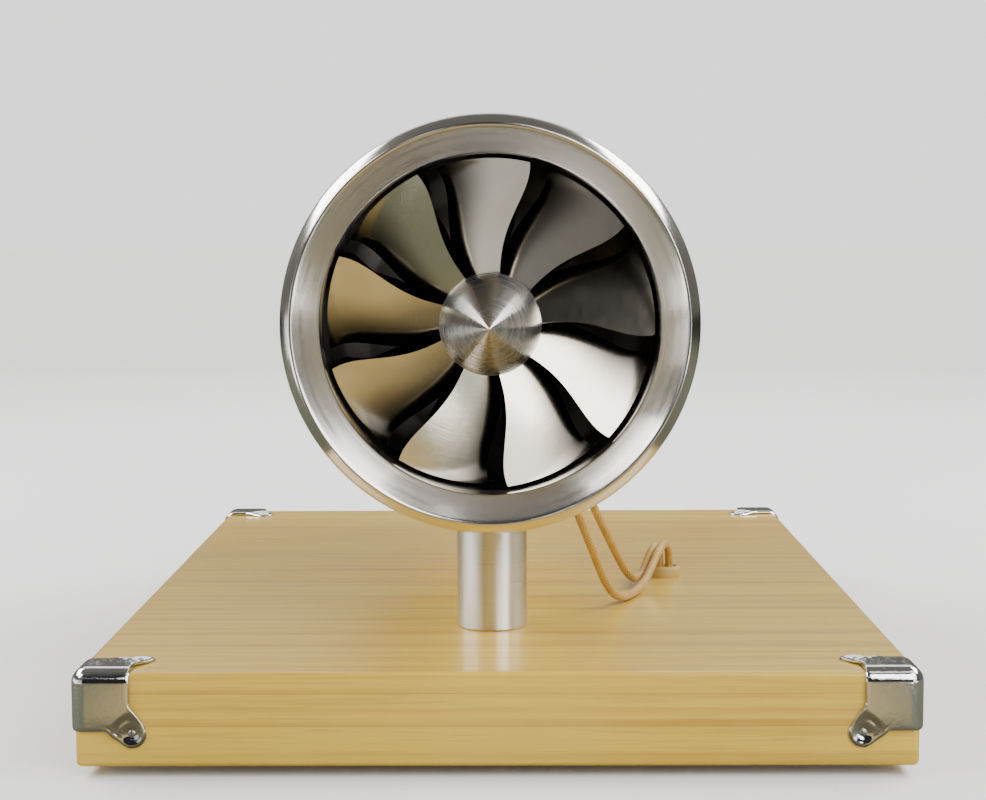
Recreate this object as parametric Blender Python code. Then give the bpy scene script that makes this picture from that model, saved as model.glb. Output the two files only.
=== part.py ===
"""Desktop model of an axial turbine generator on two posts and a laminated wooden board.

Metres, +Z up. The front (the intake) faces -Y, and the origin is the middle of the underside of the
feet. The rotor turns about an axis parallel to Y. Sections of the turned pieces are given as pairs
(station, radius): the station is the distance behind the crest plane of the inlet lip.
"""

import math

import bmesh
import bpy
from mathutils import Matrix, Vector

# Gap kept between touching pieces
GAP = 0.0003

# Board and feet
BOARD_WIDTH = 0.220
BOARD_DEPTH = 0.309
BOARD_THICK = 0.025
BOARD_ROUND = 0.0016
FOOT_RADIUS = 0.009
FOOT_HEIGHT = 0.0025
FOOT_INSET_X = 0.022
FOOT_INSET_Y = 0.0285
BOARD_BOTTOM = FOOT_HEIGHT + GAP
BOARD_TOP = BOARD_BOTTOM + BOARD_THICK

# Corner guards: three flaps that meet at a corner of the board, each with a round ear
GUARD_WIDTH = 0.0157
GUARD_HEIGHT = 0.0168
GUARD_SHEET = 0.0009
GUARD_ROUND = 0.0026
GUARD_EAR_RADIUS = 0.0039
GUARD_EAR_OUT = 0.0004
GUARD_EAR_STEPS = 9

# Turbine axis and the stations behind the crest plane of the lip
AXIS_X = -0.0017
AXIS_Z = 0.1165
CREST_Y = -0.1270

# Inlet lip, a turned ring: a straight funnel from the throat to a crease, and a round rim
LIP_CREASE = (0.0016, 0.0522)
LIP_CREST_RADIUS = 0.0542
LIP_OUTER_RADIUS = 0.0572
LIP_OUTER_START = 0.0040
LIP_FUNNEL_END = 0.0073
LIP_FILLET = 0.0008
THROAT_RADIUS = 0.0465
LIP_LENGTH = 0.0147
LIP_WAIST_RADIUS = 0.0512

# Cases behind the lip
CASE_WALL = 0.0025
CASE_OUTER_RADIUS = THROAT_RADIUS + CASE_WALL
FLANGE_RADIUS = 0.0525
FLANGE_THICK = 0.0030
FAN_CASE_END = 0.0750
REAR_CASE_END = 0.2050
NOZZLE_END = 0.2420
NOZZLE_EXIT_RADIUS = 0.0385

# Rotor
HUB_RADIUS = 0.0140
SPINNER_BASE = 0.0084
SPINNER_TIP = -0.0186
SPINNER_CONE_END = -0.0040
SPINNER_CONE_RADIUS = 0.0097
HUB_END = 0.0285
SHAFT_RADIUS = 0.0040
SHAFT_END = 0.0385
BLADE_COUNT = 9
BLADE_TIP_RADIUS = 0.0454
BLADE_THICK = 0.0011
BLADE_LEAD_SWEEP = (10.9, -18.9, 60.1, -38.05)
BLADE_SPAN = (42.0, -21.5, 13.0)
BLADE_SLOPE_ROOT = 0.48
BLADE_SLOPE_TIP = 0.38
BLADE_MIDDLE = -11.0
BLADE_STATION_ROOT = 0.0183
BLADE_STATION_TIP = 0.0197

# Fixed core: guide vanes, bearing, generator housing, struts and tail cone. A guide vane is folded at
# the radii of its creases, each of which is turned by its own angle in degrees.
GUIDE_VANE_COUNT = 9
GUIDE_VANE_START = 0.0345
GUIDE_VANE_DEPTH = 0.0190
GUIDE_VANE_SWEEP = 43.0
GUIDE_VANE_CAMBER = 1.5
GUIDE_VANE_THICK = 0.0012
GUIDE_VANE_PHASE = 14.0
GUIDE_VANE_CREASES = (
    (HUB_RADIUS + GAP, 0.0),
    (0.0286, 3.0),
    (0.0357, 1.5),
    (0.0429, 5.0),
    (THROAT_RADIUS - 1.5 * GAP, 4.0),
)
CORE_START = 0.0315
CORE_NECK_END = 0.0540
CORE_SHOULDER = 0.0700
CORE_RADIUS = 0.0220
CORE_END = 0.1950
BEARING_RADIUS = 0.0090
BEARING_LENGTH = 0.0080
STRUT_COUNT = 3
STRUT_START = 0.1700
STRUT_LENGTH = 0.0200
STRUT_THICK = 0.0030
TAIL_LENGTH = 0.0560
TAIL_TIP_RADIUS = 0.0030

# Posts between the board and the cases
POST_RADIUS = 0.0101
POST_FRONT_Y = -0.0900
POST_REAR_Y = 0.0600

# The two leads between the generator and the board. Each leaves the case at a gland, whose direction
# is given across and up from the axis, and both go into one grommet.
LEAD_RADIUS = 0.0013
LEAD_END_RISE = 0.0004
GLAND_RADIUS = 0.0036
GLAND_LENGTH = 0.0075
GROMMET_X = 0.0545
GROMMET_Y = -0.0055
GROMMET_RADIUS = 0.0056
GROMMET_HEIGHT = 0.0035
LEAD_POINTS_PER_STEP = 2
LEADS = {
    "front": {
        "gland_y": -0.0750,
        "gland_direction": (0.400, -0.917),
        "enters_x": 0.0561,
        "route": (
            (0.0234, -0.0747, 0.0588),
            (0.0257, -0.0735, 0.0530),
            (0.0280, -0.0715, 0.0470),
            (0.0302, -0.0690, 0.0412),
            (0.0325, -0.0655, 0.0358),
            (0.0352, -0.0606, 0.0316),
            (0.0382, -0.0545, 0.0296),
            (0.0411, -0.0475, 0.0292),
            (0.0437, -0.0400, 0.0294),
            (0.0462, -0.0325, 0.0305),
            (0.0488, -0.0250, 0.0336),
            (0.0514, -0.0182, 0.0375),
            (0.0537, -0.0125, 0.0392),
            (0.0549, -0.0093, 0.0384),
            (0.0558, -0.0066, 0.0360),
        ),
    },
    "rear": {
        "gland_y": -0.0440,
        "gland_direction": (0.462, -0.887),
        "enters_x": 0.0529,
        "route": (
            (0.0275, -0.0440, 0.0605),
            (0.0303, -0.0433, 0.0545),
            (0.0331, -0.0418, 0.0485),
            (0.0358, -0.0394, 0.0428),
            (0.0383, -0.0364, 0.0376),
            (0.0407, -0.0328, 0.0334),
            (0.0432, -0.0286, 0.0310),
            (0.0457, -0.0240, 0.0315),
            (0.0476, -0.0195, 0.0342),
            (0.0492, -0.0157, 0.0370),
            (0.0508, -0.0120, 0.0385),
            (0.0519, -0.0088, 0.0377),
            (0.0526, -0.0064, 0.0355),
        ),
    },
}

LIP_STEPS = 64
ROUND_STEPS = 48
SMALL_ROUND_STEPS = 32

STEEL = ("turned_steel", (0.62, 0.60, 0.57), 0.28, 1.0)
BLADE_STEEL = ("blade_steel", (0.66, 0.64, 0.60), 0.22, 1.0)
DARK_STEEL = ("dark_steel", (0.22, 0.21, 0.20), 0.42, 1.0)
CHROME = ("chrome", (0.80, 0.80, 0.80), 0.08, 1.0)
WOOD = ("varnished_wood", (0.72, 0.55, 0.27), 0.25, 0.0)
RUBBER = ("rubber", (0.05, 0.05, 0.05), 0.80, 0.0)
AMBER = ("amber_sleeve", (0.62, 0.38, 0.12), 0.35, 0.0)
AMBER_RUBBER = ("amber_rubber", (0.50, 0.34, 0.13), 0.55, 0.0)
BLACK_PLASTIC = ("black_plastic", (0.04, 0.04, 0.04), 0.45, 0.0)


def clear_scene():
    """Removes every object of the start-up scene."""
    for old in list(bpy.data.objects):
        bpy.data.objects.remove(old, do_unlink=True)


def material(finish):
    """Returns the Principled material for a finish (name, colour, roughness, metallic)."""
    name, colour, roughness, metallic = finish
    made = bpy.data.materials.get(name)
    if made is None:
        made = bpy.data.materials.new(name)
        made.use_nodes = True
        shader = made.node_tree.nodes["Principled BSDF"]
        shader.inputs["Base Color"].default_value = (*colour, 1.0)
        shader.inputs["Roughness"].default_value = roughness
        shader.inputs["Metallic"].default_value = metallic
    return made


def add_object(name, shape, finish, smooth_angle=None):
    """Turns a bmesh into a named object; round pieces are shaded smooth below smooth_angle."""
    bmesh.ops.recalc_face_normals(shape, faces=shape.faces)
    mesh = bpy.data.meshes.new(name)
    shape.to_mesh(mesh)
    shape.free()
    if smooth_angle is not None:
        mesh.shade_smooth()
        mesh.set_sharp_from_angle(angle=math.radians(smooth_angle))
    mesh.materials.append(material(finish))
    made = bpy.data.objects.new(name, mesh)
    bpy.context.scene.collection.objects.link(made)
    return made


def axis_point(station=0.0):
    """Returns the point of the turbine axis at a station behind the crest plane."""
    return Vector((AXIS_X, CREST_Y + station, AXIS_Z))


def turned_shape(section, steps):
    """Spins a section of (station, radius) pairs about the local Y axis.

    A section whose ends lie on the axis closes at its poles, and any other section is a loop.
    """
    shape = bmesh.new()
    points = [shape.verts.new((radius, station, 0.0)) for station, radius in section]
    edges = [shape.edges.new(pair) for pair in zip(points, points[1:])]
    solid_of_ends = section[0][1] == 0.0 and section[-1][1] == 0.0
    if not solid_of_ends:
        edges.append(shape.edges.new((points[-1], points[0])))
    bmesh.ops.spin(shape, geom=points + edges, axis=(0.0, 1.0, 0.0), cent=(0.0, 0.0, 0.0),
                   angle=2.0 * math.pi, steps=steps, use_merge=True)
    bmesh.ops.remove_doubles(shape, verts=shape.verts, dist=1e-6)
    return shape


def turned_piece(name, section, finish, steps=ROUND_STEPS, smooth_angle=35.0):
    """Adds a piece that is turned about the turbine axis."""
    made = add_object(name, turned_shape(section, steps), finish, smooth_angle)
    made.location = axis_point()
    return made


def bezier(start, control, end, steps):
    """Returns the points of a quadratic curve, without its start."""
    weights = [(k + 1) / steps for k in range(steps)]
    return [tuple((1 - w) ** 2 * a + 2 * w * (1 - w) * b + w * w * c
                  for a, b, c in zip(start, control, end)) for w in weights]


def cylinder_shape(radius, low, high, steps):
    """Returns an upright cylinder between two heights."""
    shape = bmesh.new()
    bmesh.ops.create_cone(shape, cap_ends=True, segments=steps, radius1=radius, radius2=radius,
                          depth=high - low)
    bmesh.ops.translate(shape, verts=shape.verts, vec=(0.0, 0.0, (low + high) / 2))
    return shape


def build_board():
    """The laminated board, with slightly rounded edges."""
    shape = bmesh.new()
    bmesh.ops.create_cube(shape, size=1.0)
    bmesh.ops.scale(shape, vec=(BOARD_WIDTH, BOARD_DEPTH, BOARD_THICK), verts=shape.verts)
    bmesh.ops.translate(shape, vec=(0.0, 0.0, BOARD_BOTTOM + BOARD_THICK / 2), verts=shape.verts)
    board = add_object("base_board", shape, WOOD)
    rounding = board.modifiers.new("rounding", 'BEVEL')
    rounding.width = BOARD_ROUND
    rounding.segments = 2
    return board


def build_feet():
    """Four round rubber feet under the board."""
    reach_x = BOARD_WIDTH / 2 - FOOT_INSET_X
    reach_y = BOARD_DEPTH / 2 - FOOT_INSET_Y
    places = {"front_left": (-1, -1), "front_right": (1, -1), "rear_left": (-1, 1), "rear_right": (1, 1)}
    for place, (side_x, side_y) in places.items():
        shape = cylinder_shape(FOOT_RADIUS, 0.0, FOOT_HEIGHT, SMALL_ROUND_STEPS)
        foot = add_object("foot_" + place, shape, RUBBER, 35.0)
        foot.location = (side_x * reach_x, side_y * reach_y, 0.0)


def ear_outline(wide, tall):
    """Returns the far outline of a flap: its free edges and the ear past its far corner.

    The flap spans 0 to wide and 0 to tall from the corner of the board. The outline runs from
    (wide, 0) round the ear to (0, tall).
    """
    centre = (wide + GUARD_EAR_OUT, tall + GUARD_EAR_OUT)
    dip = math.asin(GUARD_EAR_OUT / GUARD_EAR_RADIUS)
    first = -math.pi / 2 - dip
    last = math.pi + dip
    points = [(wide, 0.0)]
    for k in range(GUARD_EAR_STEPS + 1):
        angle = first + (last - first) * k / GUARD_EAR_STEPS
        points.append((centre[0] + GUARD_EAR_RADIUS * math.cos(angle),
                       centre[1] + GUARD_EAR_RADIUS * math.sin(angle)))
    points.append((0.0, tall))
    return points


def round_guard_edges(shape, depth, radius):
    """Rounds the three edges, and the corner, where the flaps' faces at a depth meet."""
    def on_edge(place):
        return sum(abs(value - depth) < 1e-7 for value in place) >= 2

    edges = [edge for edge in shape.edges if all(on_edge(vert.co) for vert in edge.verts)]
    bmesh.ops.bevel(shape, geom=edges, offset=radius, segments=3, profile=0.5, affect='EDGES')


def guard_shape():
    """Returns one corner guard in its own corner frame: the three flaps run along +x, +y and +z."""
    sheet = GUARD_SHEET
    shape = bmesh.new()
    known = {}

    def vertex(place):
        key = tuple(round(value, 7) for value in place)
        if key not in known:
            known[key] = shape.verts.new(place)
        return known[key]

    def on_flap(normal_axis, first_axis, second_axis, depth, point):
        place = [0.0, 0.0, 0.0]
        place[normal_axis] = depth
        place[first_axis] = max(point[0], depth)
        place[second_axis] = max(point[1], depth)
        return vertex(place)

    spans = (GUARD_WIDTH, GUARD_WIDTH, GUARD_HEIGHT)
    for normal_axis, first_axis, second_axis in ((0, 1, 2), (1, 2, 0), (2, 0, 1)):
        outline = ear_outline(spans[first_axis], spans[second_axis])
        outer = [on_flap(normal_axis, first_axis, second_axis, 0.0, point) for point in outline]
        inner = [on_flap(normal_axis, first_axis, second_axis, sheet, point) for point in outline]
        shape.faces.new([vertex((0.0, 0.0, 0.0))] + outer)
        shape.faces.new([vertex((sheet, sheet, sheet))] + inner)
        for k in range(1, len(outline) - 2):
            shape.faces.new((outer[k], outer[k + 1], inner[k + 1], inner[k]))
    for far_axis, first_axis, second_axis in ((0, 1, 2), (1, 2, 0), (2, 0, 1)):
        edge_first = ear_outline(spans[far_axis], spans[first_axis])[1][1]
        edge_second = ear_outline(spans[far_axis], spans[second_axis])[1][1]
        rim = ((0.0, 0.0), (edge_first, 0.0), (edge_first, sheet), (sheet, sheet),
               (sheet, edge_second), (0.0, edge_second))
        corners = []
        for first, second in rim:
            place = [0.0, 0.0, 0.0]
            place[far_axis] = spans[far_axis]
            place[first_axis] = first
            place[second_axis] = second
            corners.append(vertex(place))
        shape.faces.new(corners)
    round_guard_edges(shape, 0.0, GUARD_ROUND)
    round_guard_edges(shape, sheet, GUARD_ROUND - sheet)
    return shape


def build_guards():
    """Four corner guards of bright sheet over the top corners of the board."""
    outer_x = BOARD_WIDTH / 2 + GAP + GUARD_SHEET
    outer_y = BOARD_DEPTH / 2 + GAP + GUARD_SHEET
    outer_z = BOARD_TOP + GAP + GUARD_SHEET
    places = {"front_left": (-1, -1), "front_right": (1, -1), "rear_left": (-1, 1), "rear_right": (1, 1)}
    for place, (side_x, side_y) in places.items():
        shape = guard_shape()
        inward = Matrix.Diagonal((-side_x, -side_y, -1.0, 1.0))
        corner = Matrix.Translation((side_x * outer_x, side_y * outer_y, outer_z))
        bmesh.ops.transform(shape, matrix=corner @ inward, verts=shape.verts)
        add_object("corner_guard_" + place, shape, CHROME)


def build_posts():
    """Two round posts whose tops are milled to the cases that they carry."""
    for name, y in (("post_front", POST_FRONT_Y), ("post_rear", POST_REAR_Y)):
        shape = cylinder_shape(POST_RADIUS, BOARD_TOP + GAP, AXIS_Z, SMALL_ROUND_STEPS)
        post = add_object(name, shape, STEEL, 35.0)
        post.location = (AXIS_X, y, 0.0)
        milling = bmesh.new()
        radius = CASE_OUTER_RADIUS + GAP
        bmesh.ops.create_cone(milling, cap_ends=True, segments=ROUND_STEPS * 2, radius1=radius,
                              radius2=radius, depth=4 * POST_RADIUS)
        bmesh.ops.rotate(milling, verts=milling.verts, matrix=Matrix.Rotation(math.pi / 2, 3, 'X'))
        cutter = add_object(name + "_milling", milling, STEEL)
        cutter.location = (AXIS_X, y, AXIS_Z)
        cutter.hide_render = True
        cutter.display_type = 'WIRE'
        cut = post.modifiers.new("saddle", 'BOOLEAN')
        cut.operation = 'DIFFERENCE'
        cut.solver = 'EXACT'
        cut.object = cutter


def lip_section():
    """The inlet ring: throat, fillet, straight funnel, crease, crest, round outer edge and waist."""
    deep = (LIP_FUNNEL_END, THROAT_RADIUS)
    rise = (LIP_CREASE[1] - deep[1]) / (deep[0] - LIP_CREASE[0])
    fillet_start = (LIP_FUNNEL_END + LIP_FILLET, THROAT_RADIUS)
    fillet = bezier(fillet_start, deep, (LIP_FUNNEL_END - LIP_FILLET, THROAT_RADIUS + rise * LIP_FILLET), 3)
    crest = bezier(LIP_CREASE, (0.0, LIP_CREASE[1] + rise * LIP_CREASE[0]), (0.0, LIP_CREST_RADIUS), 2)
    edge = bezier(crest[-1], (0.0, LIP_OUTER_RADIUS), (LIP_OUTER_START, LIP_OUTER_RADIUS), 5)
    waist = bezier(edge[-1], (0.0090, LIP_OUTER_RADIUS - 0.0002), (0.0105, LIP_WAIST_RADIUS), 4)
    flange = [(LIP_LENGTH - FLANGE_THICK, LIP_WAIST_RADIUS), (LIP_LENGTH - FLANGE_THICK, FLANGE_RADIUS),
              (LIP_LENGTH, FLANGE_RADIUS)]
    return [(LIP_LENGTH, THROAT_RADIUS), fillet_start] + fillet + [LIP_CREASE] + crest + edge + waist + flange


def case_section(start, end, radius_start, radius_end, flange_start, flange_end):
    """A tube with a flange at either end, as a closed loop of (station, radius) pairs."""
    outer_start = radius_start + CASE_WALL
    outer_end = radius_end + CASE_WALL
    section = [(start, radius_start)]
    if flange_start:
        section += [(start, FLANGE_RADIUS), (start + FLANGE_THICK, FLANGE_RADIUS)]
        section += [(start + FLANGE_THICK, outer_start)]
    else:
        section += [(start, outer_start)]
    if flange_end:
        section += [(end - FLANGE_THICK, outer_end), (end - FLANGE_THICK, FLANGE_RADIUS)]
        section += [(end, FLANGE_RADIUS)]
    else:
        section += [(end, outer_end)]
    section += [(end, radius_end)]
    return section


def build_cases():
    """The inlet lip and the three lengths of case behind it."""
    turned_piece("inlet_lip", lip_section(), STEEL, LIP_STEPS)
    fan_case = case_section(LIP_LENGTH + GAP, FAN_CASE_END, THROAT_RADIUS, THROAT_RADIUS, True, True)
    turned_piece("fan_case", fan_case, STEEL)
    rear_case = case_section(FAN_CASE_END + GAP, REAR_CASE_END, THROAT_RADIUS, THROAT_RADIUS, True, True)
    turned_piece("rear_case", rear_case, STEEL)
    start = REAR_CASE_END + GAP
    outer = bezier((start + FLANGE_THICK, CASE_OUTER_RADIUS),
                   ((start + NOZZLE_END) / 2, CASE_OUTER_RADIUS), (NOZZLE_END, NOZZLE_EXIT_RADIUS + CASE_WALL), 4)
    inner = bezier((NOZZLE_END, NOZZLE_EXIT_RADIUS), ((start + NOZZLE_END) / 2, THROAT_RADIUS),
                   (start, THROAT_RADIUS), 4)
    flange = [(start, FLANGE_RADIUS), (start + FLANGE_THICK, FLANGE_RADIUS),
              (start + FLANGE_THICK, CASE_OUTER_RADIUS)]
    turned_piece("exhaust_nozzle", flange + outer + [(NOZZLE_END, NOZZLE_EXIT_RADIUS)] + inner, STEEL)


def curved_sheet(name, place, rows, columns, thick, finish):
    """Adds a curved plate of even thickness from place(across, along), both from 0 to 1."""
    shape = bmesh.new()
    grid = [[shape.verts.new(place(i / (rows - 1), j / (columns - 1))) for j in range(columns)]
            for i in range(rows)]
    for i in range(rows - 1):
        for j in range(columns - 1):
            shape.faces.new((grid[i][j], grid[i + 1][j], grid[i + 1][j + 1], grid[i][j + 1]))
    sheet = add_object(name, shape, finish, 35.0)
    sheet.location = axis_point()
    wall = sheet.modifiers.new("thickness", 'SOLIDIFY')
    wall.thickness = thick
    wall.offset = 0.0
    return sheet


def polar_point(radius, clockwise_degrees, station):
    """Returns a point about the axis; the angle runs clockwise from the top, seen from the front."""
    angle = math.radians(clockwise_degrees)
    return (radius * math.sin(angle), station, radius * math.cos(angle))


def blade_point(turn, across, along):
    """Returns a point of a rotor blade's middle surface.

    across runs from root to tip and along from the leading to the trailing edge. The leading edge
    follows a cubic in across, which gives its S shape. The blade is a plate that leans back
    anticlockwise from its middle line, and it is nearly flat: only its slope eases towards the tip.
    """
    radius = HUB_RADIUS + GAP + across * (BLADE_TIP_RADIUS - HUB_RADIUS - GAP)
    lead = sum(term * across ** power for power, term in enumerate(BLADE_LEAD_SWEEP))
    span = sum(term * across ** power for power, term in enumerate(BLADE_SPAN))
    angle = lead - span * along
    slope = BLADE_SLOPE_ROOT + across * (BLADE_SLOPE_TIP - BLADE_SLOPE_ROOT)
    station = BLADE_STATION_ROOT + across * (BLADE_STATION_TIP - BLADE_STATION_ROOT)
    station -= slope * radius * math.sin(math.radians(angle - BLADE_MIDDLE))
    return polar_point(radius, turn + angle, station)


def guide_vane_point(turn, across, along):
    """Returns a point of a guide vane's middle surface, which turns the air back to the axis.

    across runs evenly from crease to crease, and the vane is straight between two of them.
    """
    last = len(GUIDE_VANE_CREASES) - 1
    inner = min(int(across * last), last - 1)
    way = across * last - inner
    radius, twist = (a + way * (b - a) for a, b in zip(*GUIDE_VANE_CREASES[inner:inner + 2]))
    angle = turn + twist - GUIDE_VANE_SWEEP * (1.0 - along) ** GUIDE_VANE_CAMBER
    return polar_point(radius, angle, GUIDE_VANE_START + GUIDE_VANE_DEPTH * along)


def build_rotor():
    """Spinner, hub, shaft and blades, all with their origin on the axis."""
    spinner = [(SPINNER_TIP, 0.0), (SPINNER_TIP + 0.0004, 0.0005), (SPINNER_CONE_END, SPINNER_CONE_RADIUS)]
    spinner += bezier(spinner[-1], (0.0023, HUB_RADIUS), (SPINNER_BASE - GAP, HUB_RADIUS), 6)
    spinner += [(SPINNER_BASE - GAP, 0.0)]
    turned_piece("spinner", spinner, STEEL)
    hub = [(SPINNER_BASE, 0.0), (SPINNER_BASE, HUB_RADIUS), (HUB_END, HUB_RADIUS), (HUB_END, 0.0)]
    turned_piece("fan_hub", hub, STEEL)
    shaft = [(HUB_END + GAP, 0.0), (HUB_END + GAP, SHAFT_RADIUS), (SHAFT_END, SHAFT_RADIUS), (SHAFT_END, 0.0)]
    turned_piece("rotor_shaft", shaft, STEEL, SMALL_ROUND_STEPS)
    for k in range(BLADE_COUNT):
        turn = k * 360.0 / BLADE_COUNT
        curved_sheet("fan_blade_%d" % (k + 1), lambda across, along, turn=turn: blade_point(turn, across, along),
                     9, 7, BLADE_THICK, BLADE_STEEL)


def core_section():
    """The generator housing: a bearing pocket in its nose, a neck, a shoulder and a long drum."""
    pocket_end = CORE_START + BEARING_LENGTH + GAP
    section = [(pocket_end, 0.0), (pocket_end, BEARING_RADIUS + GAP), (CORE_START, BEARING_RADIUS + GAP)]
    section += [(CORE_START, HUB_RADIUS), (CORE_NECK_END, HUB_RADIUS)]
    middle = (CORE_NECK_END + CORE_SHOULDER) / 2
    section += bezier((CORE_NECK_END, HUB_RADIUS), (middle, HUB_RADIUS), (middle, (HUB_RADIUS + CORE_RADIUS) / 2), 2)
    section += bezier((middle, (HUB_RADIUS + CORE_RADIUS) / 2), (middle, CORE_RADIUS),
                      (CORE_SHOULDER, CORE_RADIUS), 2)
    section += [(CORE_END, CORE_RADIUS), (CORE_END, 0.0)]
    return section


def build_core():
    """The fixed pieces inside the cases."""
    turned_piece("generator_housing", core_section(), DARK_STEEL)
    bearing = [(CORE_START, SHAFT_RADIUS + GAP), (CORE_START, BEARING_RADIUS),
               (CORE_START + BEARING_LENGTH, BEARING_RADIUS), (CORE_START + BEARING_LENGTH, SHAFT_RADIUS + GAP)]
    turned_piece("front_bearing", bearing, STEEL, SMALL_ROUND_STEPS)
    tail_start = CORE_END + GAP
    tail = [(tail_start, 0.0), (tail_start, CORE_RADIUS)]
    tail += bezier((tail_start, CORE_RADIUS), (tail_start + 0.4 * TAIL_LENGTH, CORE_RADIUS),
                   (tail_start + TAIL_LENGTH, TAIL_TIP_RADIUS), 6)
    tail += [(tail_start + TAIL_LENGTH, 0.0)]
    turned_piece("tail_cone", tail, DARK_STEEL)
    for k in range(GUIDE_VANE_COUNT):
        turn = GUIDE_VANE_PHASE + k * 360.0 / GUIDE_VANE_COUNT
        curved_sheet("guide_vane_%d" % (k + 1),
                     lambda across, along, turn=turn: guide_vane_point(turn, across, along),
                     len(GUIDE_VANE_CREASES), 7, GUIDE_VANE_THICK, DARK_STEEL)
    for k in range(STRUT_COUNT):
        strut = bmesh.new()
        bmesh.ops.create_cube(strut, size=1.0)
        low = CORE_RADIUS + GAP
        high = math.sqrt((THROAT_RADIUS - GAP) ** 2 - (STRUT_THICK / 2) ** 2)
        bmesh.ops.scale(strut, vec=(STRUT_THICK, STRUT_LENGTH, high - low), verts=strut.verts)
        middle = (0.0, STRUT_START + STRUT_LENGTH / 2, (low + high) / 2)
        bmesh.ops.translate(strut, vec=middle, verts=strut.verts)
        turn = Matrix.Rotation(2 * math.pi * k / STRUT_COUNT, 3, 'Y')
        bmesh.ops.rotate(strut, verts=strut.verts, cent=(0.0, 0.0, 0.0), matrix=turn)
        made = add_object("rear_strut_%d" % (k + 1), strut, DARK_STEEL)
        made.location = axis_point()


def smooth_route(points, per_step):
    """Reads points from a Catmull-Rom curve through the route, per_step to each span."""
    padded = [2 * points[0] - points[1]] + points + [2 * points[-1] - points[-2]]
    read = []
    for before, start, end, after in zip(padded, padded[1:], padded[2:], padded[3:]):
        for k in range(per_step):
            w = k / per_step
            read.append(0.5 * (2 * start + (end - before) * w
                               + (2 * before - 5 * start + 4 * end - after) * w * w
                               + (3 * start - before - 3 * end + after) * w ** 3))
    read.append(points[-1])
    return read


def build_lead(name, gland_y, gland_direction, enters_x, route):
    """One sleeved lead, and the gland on the case that it comes out of."""
    direction = Vector((gland_direction[0], 0.0, gland_direction[1])).normalized()
    centre = Vector((AXIS_X, gland_y, AXIS_Z))
    gland_shape = cylinder_shape(GLAND_RADIUS, 0.0, GLAND_LENGTH, 16)
    gland = add_object("lead_gland_" + name, gland_shape, BLACK_PLASTIC, 35.0)
    gland.location = centre + direction * (CASE_OUTER_RADIUS + GAP)
    gland.rotation_euler = direction.to_track_quat('Z', 'Y').to_euler()
    leaves = centre + direction * (CASE_OUTER_RADIUS + GLAND_LENGTH + 2 * GAP)
    enters = Vector((enters_x, GROMMET_Y, BOARD_TOP + GROMMET_HEIGHT + 2 * GAP + LEAD_END_RISE))
    points = [leaves] + [Vector(point) for point in route] + [enters]
    curve = bpy.data.curves.new("lead_" + name, 'CURVE')
    curve.dimensions = '3D'
    spline = curve.splines.new('POLY')
    places = smooth_route(points, LEAD_POINTS_PER_STEP)
    spline.points.add(len(places) - 1)
    for point, place in zip(spline.points, places):
        point.co = (*place, 1.0)
    curve.bevel_depth = LEAD_RADIUS
    curve.bevel_resolution = 2
    curve.use_fill_caps = True
    curve.materials.append(material(AMBER))
    lead = bpy.data.objects.new("lead_" + name, curve)
    bpy.context.scene.collection.objects.link(lead)


def build_leads():
    """The generator's two leads, their glands and the grommet in the board."""
    grommet_shape = bmesh.new()
    bmesh.ops.create_cone(grommet_shape, cap_ends=True, segments=24, radius1=GROMMET_RADIUS,
                          radius2=GROMMET_RADIUS * 0.85, depth=GROMMET_HEIGHT)
    grommet = add_object("board_grommet", grommet_shape, AMBER_RUBBER, 35.0)
    grommet.location = (GROMMET_X, GROMMET_Y, BOARD_TOP + GAP + GROMMET_HEIGHT / 2)
    for name, facts in LEADS.items():
        build_lead(name, **facts)


def main():
    """Builds the whole model."""
    clear_scene()
    build_board()
    build_feet()
    build_guards()
    build_posts()
    build_cases()
    build_rotor()
    build_core()
    build_leads()


main()
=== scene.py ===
"""Looks of the desktop axial turbine generator: camera, soft light, finishes and fine meshes.

Metres, +Z up, in the frame of the solid model. The intake faces -Y and the rotor turns about an axis
parallel to Y. A station is a distance behind the crest plane of the inlet lip, and sections of turned
pieces are arrays of (station, radius) pairs. Every new piece stands for solids of the frame, and its
place is in its mesh.
"""

import logging
import math
from dataclasses import dataclass, field
from enum import Enum
from typing import Callable, Sequence, Union

import bmesh
import bpy
import numpy as np
from mathutils import Matrix, Vector


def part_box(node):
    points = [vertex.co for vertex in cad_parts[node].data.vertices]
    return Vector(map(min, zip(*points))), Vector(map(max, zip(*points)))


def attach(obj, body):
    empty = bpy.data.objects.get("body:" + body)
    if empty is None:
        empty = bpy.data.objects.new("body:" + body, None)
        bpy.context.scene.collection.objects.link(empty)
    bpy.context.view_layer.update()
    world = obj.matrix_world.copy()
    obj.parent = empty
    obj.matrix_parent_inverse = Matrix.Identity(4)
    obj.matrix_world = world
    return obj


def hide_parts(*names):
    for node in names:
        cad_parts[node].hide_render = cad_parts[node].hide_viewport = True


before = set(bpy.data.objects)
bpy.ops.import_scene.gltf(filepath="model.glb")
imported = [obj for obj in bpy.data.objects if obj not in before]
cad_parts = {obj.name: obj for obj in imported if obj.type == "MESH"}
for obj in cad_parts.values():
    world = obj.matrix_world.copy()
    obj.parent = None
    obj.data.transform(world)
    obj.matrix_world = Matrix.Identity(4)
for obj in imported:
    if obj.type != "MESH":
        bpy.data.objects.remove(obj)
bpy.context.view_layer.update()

LOG = logging.getLogger("turbine")
Socket = bpy.types.NodeSocket
Value = Union[float, Socket]
Colour = tuple[float, float, float]

STAND = "stand"
ROTOR = "rotor"
POSTS = ("post_front", "post_rear")
MERGE_DISTANCE = 2e-6
UV_NAME = "surface"
MATERIALS: dict[str, bpy.types.Material] = {}


class Axis(Enum):
    """Direction of the axis that a turned finish runs round."""

    LENGTH = "Y"
    UPRIGHT = "Z"


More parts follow.
